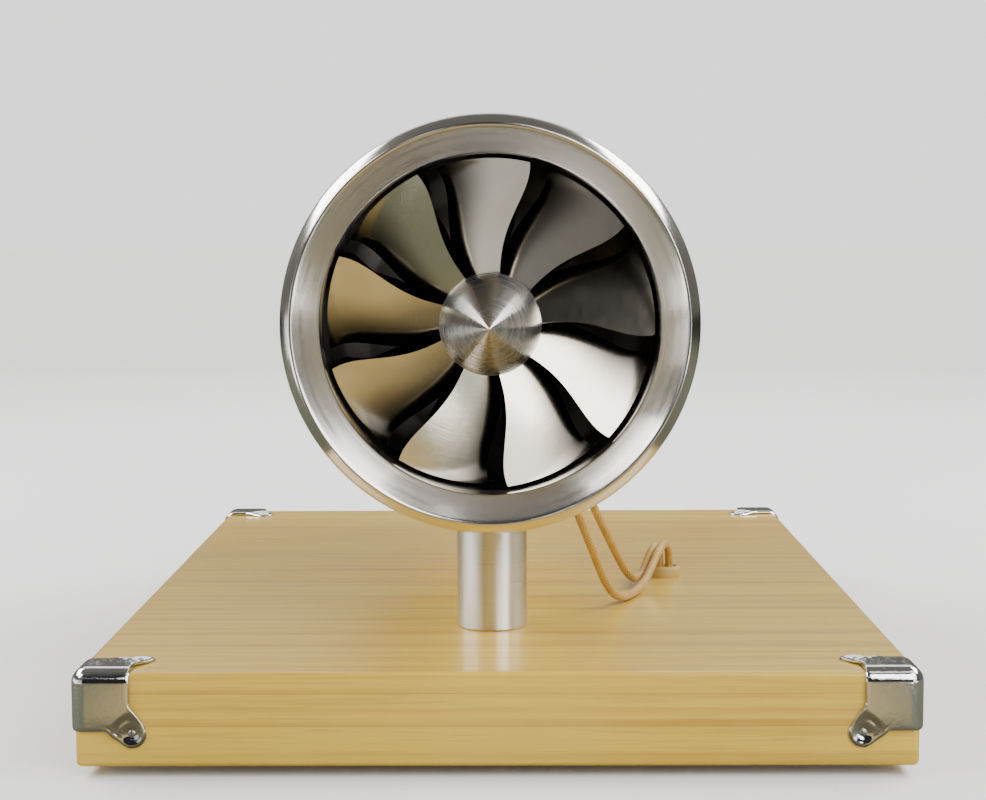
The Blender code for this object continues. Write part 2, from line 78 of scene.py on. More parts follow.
class Side(Enum):
    """Corner of the board, as the signs of its X and Y."""

    FRONT_LEFT = (-1, -1)
    FRONT_RIGHT = (1, -1)
    REAR_LEFT = (-1, 1)
    REAR_RIGHT = (1, 1)


# Shapes from arrays


def unit(vectors: np.ndarray) -> np.ndarray:
    """Returns the vectors along the last axis at length one."""
    length = np.linalg.norm(vectors, axis=-1, keepdims=True)
    return vectors / np.maximum(length, 1e-12)


def smooth_step(low: float, high: float, value: np.ndarray) -> np.ndarray:
    """Returns 0 below low, 1 above high and 3w^2 - 2w^3 between them."""
    way = np.clip((value - low) / (high - low), 0.0, 1.0)
    return way * way * (3.0 - 2.0 * way)


def bezier(start: Sequence[float], control: Sequence[float], end: Sequence[float], steps: int) -> np.ndarray:
    """Returns points of a quadratic curve: (1-w)^2 start + 2w(1-w) control + w^2 end.

    Args:
        start: First point.
        control: Point that the curve bends towards.
        end: Last point.
        steps: Number of points, both ends among them.

    Returns:
        An array of steps points.
    """
    w = np.linspace(0.0, 1.0, steps)[:, None]
    return (1 - w) ** 2 * np.array(start) + 2 * w * (1 - w) * np.array(control) + w * w * np.array(end)


def softened(
    section: Sequence[Sequence[float]],
    cut: float,
    steps: int = 5,
    closed: bool = True,
) -> np.ndarray:
    """Rounds the corners of a section.

    Each corner is replaced by a quadratic curve between the points at a distance of cut along its two
    legs, with one more point outside each end that keeps the flat legs flat in the shading.

    Args:
        section: Corner points in order.
        cut: Length taken off each leg.
        steps: Points of each curve.
        closed: Whether the last corner joins the first; an open section keeps its two end points.

    Returns:
        The rounded section, repeated at its first point when it is closed.
    """
    corner = np.array(section, dtype=float)
    back = np.roll(corner, 1, axis=0) - corner
    ahead = np.roll(corner, -1, axis=0) - corner

    def leg(way: np.ndarray, reach: float) -> np.ndarray:
        """Returns the step of at most reach, and half the leg, along each leg."""
        length = np.linalg.norm(way, axis=1, keepdims=True)
        return unit(way) * np.minimum(reach, length * 0.5)

    near, far = leg(back, cut), leg(ahead, cut)
    w = np.linspace(0.0, 1.0, steps)[None, :, None]
    start, middle, end = (corner + near)[:, None], corner[:, None], (corner + far)[:, None]
    curve = (1 - w) ** 2 * start + 2 * w * (1 - w) * middle + w * w * end
    before = (corner + leg(back, 1.5 * cut))[:, None]
    after = (corner + leg(ahead, 1.5 * cut))[:, None]
    rounded = np.concatenate((before, curve, after), axis=1)
    if closed:
        flat = rounded.reshape(-1, 2)
        return np.vstack((flat, flat[:1]))
    return np.vstack((corner[:1], rounded[1:-1].reshape(-1, 2), corner[-1:]))


def travelled(line: np.ndarray) -> np.ndarray:
    """Returns the length along a line of points up to each point."""
    return np.concatenate(([0.0], np.cumsum(np.linalg.norm(np.diff(line, axis=0), axis=1))))


def round_uv(angle: np.ndarray, along: np.ndarray) -> np.ndarray:
    """Returns UVs with u = angle / 2 pi for each column, and v = along for each row."""
    return np.stack(np.broadcast_arrays(angle[None] / (2.0 * math.pi), along), axis=-1)


def middle_of(node: str) -> np.ndarray:
    """Returns the middle of a solid's box."""
    low, high = (np.array(corner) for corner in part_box(node))
    return (low + high) / 2


def frame_about(direction: Sequence[float]) -> np.ndarray:
    """Returns three unit rows: two across the direction, and the direction itself."""
    along = unit(np.array(direction, dtype=float))
    helper = np.array((0.0, 0.0, 1.0)) if abs(along[2]) < 0.9 else np.array((1.0, 0.0, 0.0))
    first = unit(np.cross(helper, along))
    return np.stack((first, np.cross(along, first), along))


def turned(
    section: np.ndarray,
    origin: Sequence[float],
    direction: Sequence[float],
    steps: int,
    out_of_round: np.ndarray | None = None,
) -> tuple[np.ndarray, np.ndarray]:
    """Turns a section about an axis: origin + s d + r (cos a e1 + sin a e2).

    Args:
        section: Pairs (s, r) along the section.
        origin: Point of the axis where s is zero.
        direction: Direction of the axis.
        steps: Number of steps round the axis.
        out_of_round: Factors on r for each row and angle, or None for a round piece.

    Returns:
        The grid of points and its UVs: u round the axis from 0 to 1, v along the section in metres.
    """
    first, second, along = frame_about(direction)
    angle = np.linspace(0.0, 2.0 * math.pi, steps + 1)
    ring = np.cos(angle)[:, None] * first + np.sin(angle)[:, None] * second
    radius = np.repeat(section[:, 1:2], steps + 1, axis=1)
    if out_of_round is not None:
        radius = radius * out_of_round
    points = np.array(origin) + section[:, 0][:, None, None] * along + radius[..., None] * ring[None]
    return points, round_uv(angle, travelled(section)[:, None])


def hexagon(rows: np.ndarray, steps: int) -> np.ndarray:
    """Returns out-of-round factors: a hexagon on the marked rows and a circle on the others.

    A hexagon's radius over its inner radius is 1 / cos of the angle from the middle of its side.

    Args:
        rows: True for each row that is a hexagon.
        steps: Steps round the axis.

    Returns:
        Factors of shape (rows, steps + 1).
    """
    angle = np.linspace(0.0, 2.0 * math.pi, steps + 1)
    sixth = math.pi / 3.0
    side = 1.0 / np.cos(np.mod(angle, sixth) - sixth / 2.0)
    return np.where(np.asarray(rows, dtype=bool)[:, None], side[None], 1.0)


@dataclass
class Skin:
    """Grids of points gathered as whole arrays and put into one mesh."""

    points: list[np.ndarray] = field(default_factory=list)
    faces: list[np.ndarray] = field(default_factory=list)
    uvs: list[np.ndarray] = field(default_factory=list)
    count: int = 0

    def grid(self, points: np.ndarray, uv: np.ndarray) -> None:
        """Adds the quads of one grid.

        Args:
            points: Points of shape (rows, columns, 3); a closed grid repeats its first row or column.
            uv: UVs of shape (rows, columns, 2).
        """
        rows, columns = points.shape[:2]
        index = np.arange(rows * columns).reshape(rows, columns)
        corners = (index[:-1, :-1], index[1:, :-1], index[1:, 1:], index[:-1, 1:])
        quads = np.stack(corners, axis=-1).reshape(-1, 4)
        self.points.append(points.reshape(-1, 3))
        self.faces.append(quads + self.count)
        self.uvs.append(uv.reshape(-1, 2)[quads.reshape(-1)])
        self.count += rows * columns

    def object(self, name: str, sharp: float = 40.0) -> bpy.types.Object:
        """Returns the joined mesh as an object at the origin, its seams and poles closed.

        Args:
            name: Name of the piece.
            sharp: Angle in degrees over which an edge is shaded sharp.

        Returns:
            The new object.
        """
        mesh = bpy.data.meshes.new(name)
        vertices = np.concatenate(self.points)
        faces = np.concatenate(self.faces)
        mesh.vertices.add(len(vertices))
        mesh.vertices.foreach_set("co", vertices.astype(np.float32).ravel())
        mesh.loops.add(faces.size)
        mesh.loops.foreach_set("vertex_index", faces.astype(np.int32).ravel())
        mesh.polygons.add(len(faces))
        mesh.polygons.foreach_set("loop_start", np.arange(0, faces.size, 4, dtype=np.int32))
        mesh.update(calc_edges=True)
        layer = mesh.uv_layers.new(name=UV_NAME)
        layer.data.foreach_set("uv", np.concatenate(self.uvs).astype(np.float32).ravel())
        shape = bmesh.new()
        shape.from_mesh(mesh)
        bmesh.ops.remove_doubles(shape, verts=shape.verts, dist=MERGE_DISTANCE)
        bmesh.ops.dissolve_degenerate(shape, edges=shape.edges, dist=MERGE_DISTANCE / 10.0)
        bmesh.ops.recalc_face_normals(shape, faces=shape.faces)
        shape.to_mesh(mesh)
        shape.free()
        mesh.shade_smooth()
        mesh.set_sharp_from_angle(angle=math.radians(sharp))
        made = bpy.data.objects.new(name, mesh)
        bpy.context.scene.collection.objects.link(made)
        return made


# Finishes


class Shader:
    """Node tree of one material, written as short calls."""

    def __init__(self, name: str) -> None:
        """Starts a material with its Principled shader."""
        self.material = bpy.data.materials.new(name)
        self.material.use_nodes = True
        self.tree = self.material.node_tree
        self.principled = self.tree.nodes["Principled BSDF"]

    def node(self, kind: str, inputs: dict | None = None, **settings: object) -> bpy.types.Node:
        """Adds a node.

        Args:
            kind: Node type without its ShaderNode prefix.
            inputs: Values or sockets by input name or number.
            settings: Properties of the node.

        Returns:
            The new node.
        """
        made = self.tree.nodes.new("ShaderNode" + kind)
        for key, value in settings.items():
            setattr(made, key, value)
        for key, value in (inputs or {}).items():
            self.feed(made.inputs[key], value)
        return made

    def feed(self, socket: Socket, value: object) -> None:
        """Links a socket to another, or sets its value."""
        if isinstance(value, bpy.types.NodeSocket):
            self.tree.links.new(value, socket)
        else:
            socket.default_value = value

    def place(self) -> Socket:
        """Returns the piece's Object coordinates, in metres."""
        return self.node("TexCoord").outputs["Object"]

    def uv(self) -> Socket:
        """Returns the piece's own UVs."""
        return self.node("UVMap", uv_map=UV_NAME).outputs["UV"]

    def calc(self, operation: str, first: Value, second: Value = 0.0, third: Value = 0.0) -> Socket:
        """Returns the result of a Math node."""
        return self.node("Math", {0: first, 1: second, 2: third}, operation=operation).outputs[0]

    def split(self, vector: Socket) -> tuple[Socket, Socket, Socket]:
        """Returns the three numbers of a vector."""
        outputs = self.node("SeparateXYZ", {0: vector}).outputs
        return outputs[0], outputs[1], outputs[2]

    def join(self, x: Value, y: Value, z: Value = 0.0) -> Socket:
        """Returns a vector of three numbers."""
        return self.node("CombineXYZ", {0: x, 1: y, 2: z}).outputs[0]

    def mapped(
        self,
        vector: Socket,
        scale: Sequence[float] = (1, 1, 1),
        location: Sequence[float] = (0, 0, 0),
        rotation: Sequence[float] = (0, 0, 0),
    ) -> Socket:
        """Returns a vector scaled, turned and moved by a Mapping node."""
        inputs = {"Vector": vector, "Scale": scale, "Location": location, "Rotation": rotation}
        return self.node("Mapping", inputs).outputs[0]

    def noise(self, vector: Socket, scale: float, detail: float = 4.0, rough: float = 0.55) -> Socket:
        """Returns a noise value, mostly between 0.3 and 0.7."""
        inputs = {"Vector": vector, "Scale": scale, "Detail": detail, "Roughness": rough}
        return self.node("TexNoise", inputs).outputs["Fac"]

    def band(self, value: Value, low: float, high: float, start: float = 0.0, end: float = 1.0) -> Socket:
        """Returns the value carried from the range low to high onto start to end, and held there."""
        inputs = {0: value, 1: low, 2: high, 3: start, 4: end}
        return self.node("MapRange", inputs).outputs[0]

    def colour(self, amount: Value, first: object, second: object, blend: str = 'MIX') -> Socket:
        """Returns a mix of two colours."""
        made = self.node("Mix", data_type='RGBA', blend_type=blend)
        self.feed(made.inputs[0], amount)
        first_colour, second_colour = (socket for socket in made.inputs if socket.type == 'RGBA')
        self.feed(first_colour, paint(first))
        self.feed(second_colour, paint(second))
        return next(socket for socket in made.outputs if socket.type == 'RGBA')

    def bump(
        self,
        height: Socket,
        distance: float,
        strength: float = 1.0,
        below: Socket | None = None,
    ) -> Socket:
        """Returns a normal raised by a height.

        Args:
            height: Height from 0 to 1.
            distance: Real height in metres that 1 stands for.
            strength: Share of the effect.
            below: Normal that this one adds to.

        Returns:
            The normal.
        """
        inputs = {"Height": height, "Distance": distance, "Strength": strength}
        if below is not None:
            inputs["Normal"] = below
        return self.node("Bump", inputs).outputs[0]

    def set(self, **inputs: object) -> None:
        """Sets inputs of the Principled shader; an underscore in a name stands for a space."""
        for key, value in inputs.items():
            name = key.replace("_", " ")
            self.feed(self.principled.inputs[name], paint(value) if "Color" in name else value)


def paint(value: object) -> object:
    """Returns a colour with its alpha, and a socket as it is."""
    if isinstance(value, tuple) and len(value) == 3:
        return (*value, 1.0)
    return value


@dataclass(frozen=True)
class Finish:
    """Base of every finish: a name, and one material made when it is first asked for."""

    name: str

    def material(self) -> bpy.types.Material:
        """Returns the material, made once."""
        if self.name not in MATERIALS:
            shader = Shader("finish_" + self.name)
            self.build(shader)
            MATERIALS[self.name] = shader.material
        return MATERIALS[self.name]

    def build(self, shader: Shader) -> None:
        """Builds the nodes; each finish has its own."""
        raise NotImplementedError


@dataclass(frozen=True)
class TurnedSteel(Finish):
    """Steel from the lathe: fine grooves round an axis, their sheen across them, faint stains, and, where
    asked for, painted shade inside the duct.
    """

    colour: Colour = (0.64, 0.62, 0.59)
    stain: Colour = (0.47, 0.42, 0.36)
    # Colour of the painted shade inside the duct.
    duct_shade: Colour = (0.030, 0.028, 0.026)
    roughness: float = 0.26
    spread: float = 0.6
    axis: Axis = Axis.LENGTH
    centre: tuple[float, float, float] = (0.0, 0.0, 0.0)
    pitch: float = 0.00045
    depth: float = 0.000012
    groove_shade: float = 0.12
    stain_share: float = 0.45
    rough_share: float = 0.14
    shade_within: float = 0.0
    draws_in: tuple[float, float, float] = (0.0, 1.0, 0.0)

    def groove_place(self, shader: Shader) -> tuple[Socket, Socket, Socket]:
        """Returns the distance from the axis, the station along it, and the place itself."""
        place = shader.mapped(shader.place(), location=tuple(-value for value in self.centre))
        x, y, z = shader.split(place)
        across, along = (z, y) if self.axis is Axis.LENGTH else (y, z)
        square = shader.calc('MULTIPLY_ADD', x, x, shader.calc('MULTIPLY', across, across))
        return shader.calc('SQRT', square), along, place

    def build(self, shader: Shader) -> None:
        """Grooves are noise on (radius, station) only, so they run round; stains are noise in space.

        Nearer to the axis than its limit the steel is painted near black, as painted shade inside the duct.
        Where the case draws in, from station draws_in[0] to draws_in[1], that limit falls by draws_in[2] s^2.
        """
        radius, along, place = self.groove_place(shader)
        rings = shader.join(radius, along)
        fine = shader.noise(rings, 1.0 / self.pitch, 5.0, 0.65)
        wide = shader.noise(rings, 0.16 / self.pitch, 3.0)
        patch = shader.noise(place, 46.0, 4.0)
        wobble = shader.noise(place, 210.0, 3.0)
        groove = shader.calc('MULTIPLY_ADD', wide, 0.8, fine)
        dirt = shader.band(shader.calc('MULTIPLY', patch, wide), 0.24, 0.40)
        dull, bright = 1.0 - self.groove_shade, 1.0 + 0.3 * self.groove_shade
        shade = shader.colour(shader.band(fine, 0.35, 0.7), (dull,) * 3, (bright,) * 3)
        base = shader.colour(shader.calc('MULTIPLY', dirt, self.stain_share), self.colour, self.stain)
        share = shader.band(along, *self.draws_in[:2])
        square = shader.calc('MULTIPLY', share, share)
        limit = shader.calc('MULTIPLY_ADD', square, -self.draws_in[2], self.shade_within)
        inside = shader.calc('LESS_THAN', radius, limit)
        # Painted shade: inside the duct the steel is painted near black.
        base = shader.colour(inside, base, self.duct_shade)
        rough = shader.band(fine, 0.3, 0.7, -0.5, 0.5)
        rough = shader.calc('MULTIPLY_ADD', rough, self.rough_share, self.roughness)
        rough = shader.calc('MULTIPLY_ADD', dirt, 0.07, rough)
        normal = shader.bump(groove, self.depth)
        normal = shader.bump(wobble, self.depth, 0.5, normal)
        tangent = shader.node("Tangent", direction_type='UV_MAP', uv_map=UV_NAME).outputs[0]
        shader.set(
            Base_Color=shader.colour(1.0, base, shade, 'MULTIPLY'),
            Metallic=1.0,
            Roughness=shader.calc('MAXIMUM', rough, 0.05),
            Anisotropic=self.spread,
            Anisotropic_Rotation=0.25,
            Normal=normal,
            Tangent=tangent,
        )


@dataclass(frozen=True)
class BrushedBlade(Finish):
    """Blade steel: polished, with faint brush marks along the chord, a few crossing scratches, and, where
    asked for, painted shade towards the trailing edge.
    """

    colour: Colour = (0.74, 0.69, 0.58)
    tint: Colour = (0.64, 0.56, 0.43)
    bright: Colour = (0.82, 0.80, 0.76)
    shadow: Colour = (0.012, 0.011, 0.010)
    roughness: float = 0.14
    depth: float = 0.000003
    scratch_share: float = 0.3
    # Width of the painted shade at the trailing edge: a base, and a share of u.
    trailing_shade: tuple[float, float] = (0.0, 0.0)

    def trailing_shade_share(self, shader: Shader, uv: Socket) -> Value:
        """Returns 1, and towards the trailing edge a smooth fall to 0 that paints shade there, within a width
        of a base plus a share of u.
        """
        if not any(self.trailing_shade):
            return 1.0
        along, back, _ = shader.split(uv)
        width = shader.calc('MULTIPLY_ADD', along, self.trailing_shade[1], self.trailing_shade[0])
        share = shader.calc('DIVIDE', shader.calc('MULTIPLY', back, -1.0), width)
        smooth = shader.calc('SMOOTH_MIN', shader.calc('MAXIMUM', share, 0.0), 1.0, 0.4)
        return shader.calc('POWER', smooth, 1.7)

    def build(self, shader: Shader) -> None:
        """UVs are in metres: u from root to tip, v along the chord, so marks are stretched along v."""
        uv = shader.uv()
        brush = shader.noise(shader.mapped(uv, (1.0, 0.035, 1.0)), 5200.0, 5.0, 0.6)
        lines = shader.noise(shader.mapped(uv, (1.0, 0.06, 1.0)), 1500.0, 3.0)
        turn = shader.mapped(uv, (1.0, 0.02, 1.0), rotation=(0.0, 0.0, math.radians(24.0)))
        scratch = shader.band(shader.noise(turn, 2600.0, 2.0), 0.66, 0.72)
        patch = shader.noise(shader.place(), 70.0, 4.0)
        heat = shader.band(patch, 0.42, 0.68, 0.0, 0.6)
        base = shader.colour(heat, self.colour, self.tint)
        base = shader.colour(shader.calc('MULTIPLY', scratch, self.scratch_share), base, self.bright)
        # Painted shade: the steel darkens to near black towards the trailing edge.
        base = shader.colour(self.trailing_shade_share(shader, uv), self.shadow, base)
        rough = shader.calc('MULTIPLY_ADD', shader.band(brush, 0.3, 0.7, -0.5, 0.5), 0.10, self.roughness)
        rough = shader.calc('MULTIPLY_ADD', heat, 0.06, rough)
        normal = shader.bump(brush, self.depth)
        normal = shader.bump(lines, 2.0 * self.depth, 1.0, normal)
        normal = shader.bump(patch, 0.00006, 0.5, normal)
        rough = shader.calc('MAXIMUM', rough, 0.04)
        shader.set(Base_Color=base, Metallic=1.0, Roughness=rough, Normal=normal)


@dataclass(frozen=True)
class DarkSteel(Finish):
    """Blued steel of the hidden machine: dark, satin, with lighter worn patches."""

    colour: Colour = (0.085, 0.08, 0.075)
    worn: Colour = (0.20, 0.19, 0.175)
    speck: Colour = (0.04, 0.04, 0.04)
    roughness: float = 0.38

    def build(self, shader: Shader) -> None:
        """Wear is noise in space, sharpened, and roughens the steel where the bluing is left."""
        place = shader.place()
        patch = shader.noise(place, 95.0, 6.0, 0.6)
        grain = shader.noise(place, 2400.0, 3.0)
        wear = shader.band(patch, 0.5, 0.66)
        base = shader.colour(wear, self.colour, self.worn)
        base = shader.colour(shader.band(grain, 0.3, 0.7, 0.0, 0.25), base, self.speck)
        rough = shader.calc('MULTIPLY_ADD', wear, -0.12, self.roughness)
        rough = shader.calc('MULTIPLY_ADD', shader.band(grain, 0.3, 0.7, -0.5, 0.5), 0.14, rough)
        shader.set(Base_Color=base, Metallic=0.9, Roughness=rough, Normal=shader.bump(grain, 0.000012))


@dataclass(frozen=True)
class Chrome(Finish):
    """Pressed and plated sheet: bright, softly wavy, with pinholes and fine rubbing."""

    colour: Colour = (0.78, 0.78, 0.77)
    pitted: Colour = (0.32, 0.29, 0.25)
    clouded: Colour = (0.66, 0.64, 0.60)
    roughness: float = 0.07

    def build(self, shader: Shader) -> None:
        """Waves are low noise in space; pits are the peaks of a finer one; rubs raise the roughness."""
        place = shader.place()
        wave = shader.noise(place, 260.0, 2.0)
        rub = shader.noise(shader.mapped(place, (1.0, 0.3, 2.2)), 900.0, 5.0, 0.6)
        pit = shader.band(shader.noise(place, 1500.0, 2.0), 0.70, 0.76)
        base = shader.colour(pit, self.colour, self.pitted)
        base = shader.colour(shader.band(wave, 0.5, 0.7, 0.0, 0.25), base, self.clouded)
        rough = shader.calc('MULTIPLY_ADD', shader.band(rub, 0.45, 0.75), 0.16, self.roughness)
        rough = shader.calc('MULTIPLY_ADD', pit, 0.35, rough)
        normal = shader.bump(wave, 0.00005)
        normal = shader.bump(rub, 0.000008, 1.0, normal)
        shader.set(Base_Color=base, Metallic=1.0, Roughness=rough, Normal=normal)


@dataclass(frozen=True)
class VarnishedWood(Finish):
    """Laminated board: strips of straight grain along X, three layers in depth, under clear varnish."""

    light: Colour = (0.60, 0.40, 0.034)
    middle: Colour = (0.56, 0.31, 0.018)
    dark: Colour = (0.34, 0.155, 0.011)
    pore: Colour = (0.24, 0.12, 0.02)
    glue: Colour = (0.15, 0.075, 0.014)
    clouded: Colour = (0.62, 0.47, 0.10)
    strip: float = 0.0235
    layers: tuple[float, float] = (0.0108, 0.0194)
    layer_shift: float = 0.0087
    board_low: float = 0.0028

    def shifted(self, shader: Shader, y: Socket, z: Socket) -> tuple[Socket, Socket]:
        """Returns the layer's number from 0 to 2, and y + layer times its shift."""
        above = [shader.calc('GREATER_THAN', z, self.board_low + height) for height in self.layers]
        layer = shader.calc('ADD', above[0], above[1])
        return layer, shader.calc('MULTIPLY_ADD', layer, self.layer_shift, y)

    def grain(self, shader: Shader, place: Socket) -> tuple[Socket, Socket, Socket]:
        """Returns the strip's tone, the grain and the pores.

        The strip's number is the floor of y over its width, and each layer has its own shift, so that
        joints never fall above each other. Grain is noise drawn out along X, and moved strip by strip.
        """
        x, y, z = shader.split(place)
        layer, shifted = self.shifted(shader, y, z)
        number = shader.calc('FLOOR', shader.calc('DIVIDE', shifted, self.strip))
        key = shader.join(number, layer, 0.5)
        random = shader.node("TexWhiteNoise", {"Vector": key}, noise_dimensions='3D').outputs["Value"]
        moved = shader.join(shader.calc('MULTIPLY_ADD', random, 3.0, x), y, shader.calc('ADD', z, random))
        bend = shader.noise(shader.mapped(moved, (5.0, 22.0, 22.0)), 1.0, 3.0)
        bent = shader.calc('MULTIPLY_ADD', bend, 0.008, y)
        lines = shader.join(shader.calc('MULTIPLY_ADD', random, 3.0, x), bent, shader.calc('ADD', z, random))
        rings = shader.noise(shader.mapped(lines, (2.2, 190.0, 260.0)), 1.0, 6.0, 0.6)
        pores = shader.noise(shader.mapped(lines, (26.0, 1500.0, 1500.0)), 1.0, 4.0, 0.6)
        return random, rings, pores

    def joints(self, shader: Shader, place: Socket) -> Socket:
        """Returns 1 on the thin glue lines between strips and layers, and 0 elsewhere."""
        _, y, z = shader.split(place)
        shifted = shader.calc('DIVIDE', self.shifted(shader, y, z)[1], self.strip)
        between = shader.calc('PINGPONG', shifted, 0.5)
        seam = shader.band(between, 0.0, 0.010, 1.0, 0.0)
        for height in self.layers:
            off = shader.calc('ABSOLUTE', shader.calc('SUBTRACT', z, self.board_low + height))
            seam = shader.calc('MAXIMUM', seam, shader.band(off, 0.0, 0.00022, 1.0, 0.0))
        return seam

    def build(self, shader: Shader) -> None:
        """Tone by strip, grain and pores darken it, and a clear coat lies over it with faint marks."""
        place = shader.place()
        tone, rings, pores = self.grain(shader, place)
        seam = self.joints(shader, place)
        base = shader.colour(shader.band(tone, 0.0, 1.0, 0.05, 0.6), self.light, self.middle)
        base = shader.colour(shader.band(rings, 0.44, 0.70, 0.0, 0.75), base, self.dark)
        base = shader.colour(shader.band(pores, 0.52, 0.72, 0.0, 0.35), base, self.pore)
        base = shader.colour(shader.calc('MULTIPLY', seam, 0.5), base, self.glue)
        cloud = shader.noise(place, 22.0, 3.0)
        base = shader.colour(shader.band(cloud, 0.35, 0.7, 0.0, 0.22), base, self.clouded)
        rough = shader.calc('MULTIPLY_ADD', shader.band(pores, 0.4, 0.7), 0.12, 0.34)
        peel = shader.noise(place, 330.0, 3.0)
        normal = shader.bump(shader.calc('MULTIPLY_ADD', seam, -0.6, pores), 0.00003)
        shader.set(
            Base_Color=base,
            Roughness=rough,
            Normal=normal,
            Coat_Weight=0.5,
            Coat_Roughness=0.07,
            Coat_Normal=shader.bump(peel, 0.00005),
        )


@dataclass(frozen=True)
class BraidedSleeve(Finish):
    """Amber sleeve woven from two sets of strands that cross round the lead."""

    light: Colour = (0.46, 0.26, 0.035)
    # Colour of the painted shade in the low places of the weave.
    dark: Colour = (0.24, 0.115, 0.011)
    faded: Colour = (0.56, 0.36, 0.08)
    strands: float = 8.0
    rows: float = 620.0

    def build(self, shader: Shader) -> None:
        """Strands are waves of n u + m v and n u - m v; the higher of the two lies on top, and the low places
        of the weave get painted shade.
        """
        u, v, _ = shader.split(shader.uv())
        round_way = shader.calc('MULTIPLY', u, self.strands * 2.0 * math.pi)
        long_way = shader.calc('MULTIPLY', v, self.rows * 2.0 * math.pi)
        right = shader.calc('SINE', shader.calc('ADD', round_way, long_way))
        left = shader.calc('SINE', shader.calc('SUBTRACT', round_way, long_way))
        weave = shader.calc('MAXIMUM', right, left)
        height = shader.band(weave, -1.0, 1.0)
        patch = shader.noise(shader.place(), 240.0, 4.0)
        # Painted shade: the weave is darker in its low places.
        base = shader.colour(height, self.dark, self.light)
        base = shader.colour(shader.band(patch, 0.4, 0.7, 0.0, 0.4), base, self.faded)
        shader.set(
            Base_Color=base,
            Roughness=shader.band(height, 0.0, 1.0, 0.62, 0.42),
            Normal=shader.bump(height, 0.00009),
            Sheen_Weight=0.15,
            Subsurface_Weight=0.0,
        )


@dataclass(frozen=True)
class Moulded(Finish):
    """Moulded rubber or plastic: fine grain, and patches of dust that lighten and dull it."""

    colour: Colour = (0.022, 0.022, 0.023)
    dust: Colour = (0.16, 0.15, 0.14)
    roughness: float = 0.5
    grain_height: float = 0.00003

    def build(self, shader: Shader) -> None:
        """Grain is fine noise; dust is a low noise that lightens and dulls the surface."""
        place = shader.place()
        grain = shader.noise(place, 2600.0, 3.0)
        cloud = shader.band(shader.noise(place, 150.0, 5.0), 0.5, 0.75)
        base = shader.colour(shader.calc('MULTIPLY', cloud, 0.35), self.colour, self.dust)
        rough = shader.calc('MULTIPLY_ADD', cloud, 0.25, self.roughness)
        shader.set(Base_Color=base, Roughness=rough, Normal=shader.bump(grain, self.grain_height))


@dataclass(frozen=True)
class StudioFloor(Finish):
    """Pale matt floor of the studio. Only reflections see it painted tan, darker just ahead of the model and
    dark olive beside it, with glowing patches as painted highlights.
    """

    colour: Colour = (0.80, 0.80, 0.79)
    clouded: Colour = (0.76, 0.76, 0.755)
    # Painted reflections: colours that only reflections see, tan, a dark strip ahead of the model, and dark
    # olive sides.
    reflected_tan: Colour = (0.31, 0.235, 0.10)
    reflected_dark_strip: Colour = (0.07, 0.058, 0.032)
    near_edge: float = -0.225
    reflected_olive: Colour = (0.085, 0.090, 0.062)
    olive_edge: float = 0.10
    far_glow: float = 1.49
    glow_reach: float = 1.2
    # Painted highlights: patches that glow only in reflections, each its glow, lowest and highest x, lowest
    # and highest y.
    painted_highlights: tuple[tuple[float, ...], ...] = (
        (5.0, -0.70, -0.33, -0.56, -0.12),
        (5.0, 0.34, 0.70, -0.66, -0.30),
        (0.42, 0.16, 0.34, -0.50, -0.26),
        (5.0, 0.14, 0.21, -0.36, -0.30),
        (0.25, -0.14, 0.14, -1.20, -0.42),
    )
    soft: float = 0.02

    def painted_highlight(self, shader: Shader, place: Socket, painted_highlight: tuple[float, ...]) -> Socket:
        """Returns the glow of one painted highlight patch inside its soft edges, and 0 off it.

        Args:
            shader: Shader that the nodes go to.
            place: Object coordinates.
            painted_highlight: Its glow, then its lowest and highest x, and its lowest and highest y.

        Returns:
            The glow.
        """
        x, y, _ = shader.split(place)
        glow = painted_highlight[0]
        for value, low, high in ((x, *painted_highlight[1:3]), (y, *painted_highlight[3:5])):
            glow = shader.calc('MULTIPLY', glow, shader.band(value, low, low + self.soft))
            glow = shader.calc('MULTIPLY', glow, shader.band(value, high - self.soft, high, 1.0, 0.0))
        return glow

    def build(self, shader: Shader) -> None:
        """Seen straight it runs into the background.

        The glow that the camera sees is far_glow (1 - 1 / (1 + (distance / reach)^2)^2), which takes
        over from the lamps' light where that fades.
        """
        place = shader.place()
        path = shader.node("LightPath").outputs
        cloud = shader.noise(place, 3.0, 2.0)
        pale = shader.colour(shader.band(cloud, 0.3, 0.7, 0.0, 0.3), self.colour, self.clouded)
        far = shader.node("VectorMath", {0: place}, operation='LENGTH').outputs["Value"]
        ratio = shader.calc('DIVIDE', far, self.glow_reach)
        spread = shader.calc('POWER', shader.calc('MULTIPLY_ADD', ratio, ratio, 1.0), -2.0)
        seen = shader.calc('MULTIPLY_ADD', spread, -self.far_glow, self.far_glow)
        x, y, _ = shader.split(place)
        # Painted reflection: reflections see the floor tan, darker just ahead of the model and dark olive
        # beside it.
        near = shader.band(y, self.near_edge, self.near_edge + self.soft)
        reflected_tan = shader.colour(near, self.reflected_tan, self.reflected_dark_strip)
        beside = shader.band(shader.calc('ABSOLUTE', x), self.olive_edge, self.olive_edge + 2.0 * self.soft)
        # Painted highlights: patches of glow that only reflections see.
        mirrored = 0.0
        for painted_highlight in self.painted_highlights:
            mirrored = shader.calc('ADD', mirrored, self.painted_highlight(shader, place, painted_highlight))
        glossy = path["Is Glossy Ray"]
        seen = shader.calc('MULTIPLY', path["Is Camera Ray"], seen)
        shader.set(
            Base_Color=shader.colour(glossy, pale, shader.colour(beside, reflected_tan, self.reflected_olive)),
            Roughness=0.75,
            Specular_IOR_Level=0.1,
            Emission_Color=(1.0, 1.0, 0.985),
            Emission_Strength=shader.calc('MULTIPLY_ADD', glossy, mirrored, seen),
        )


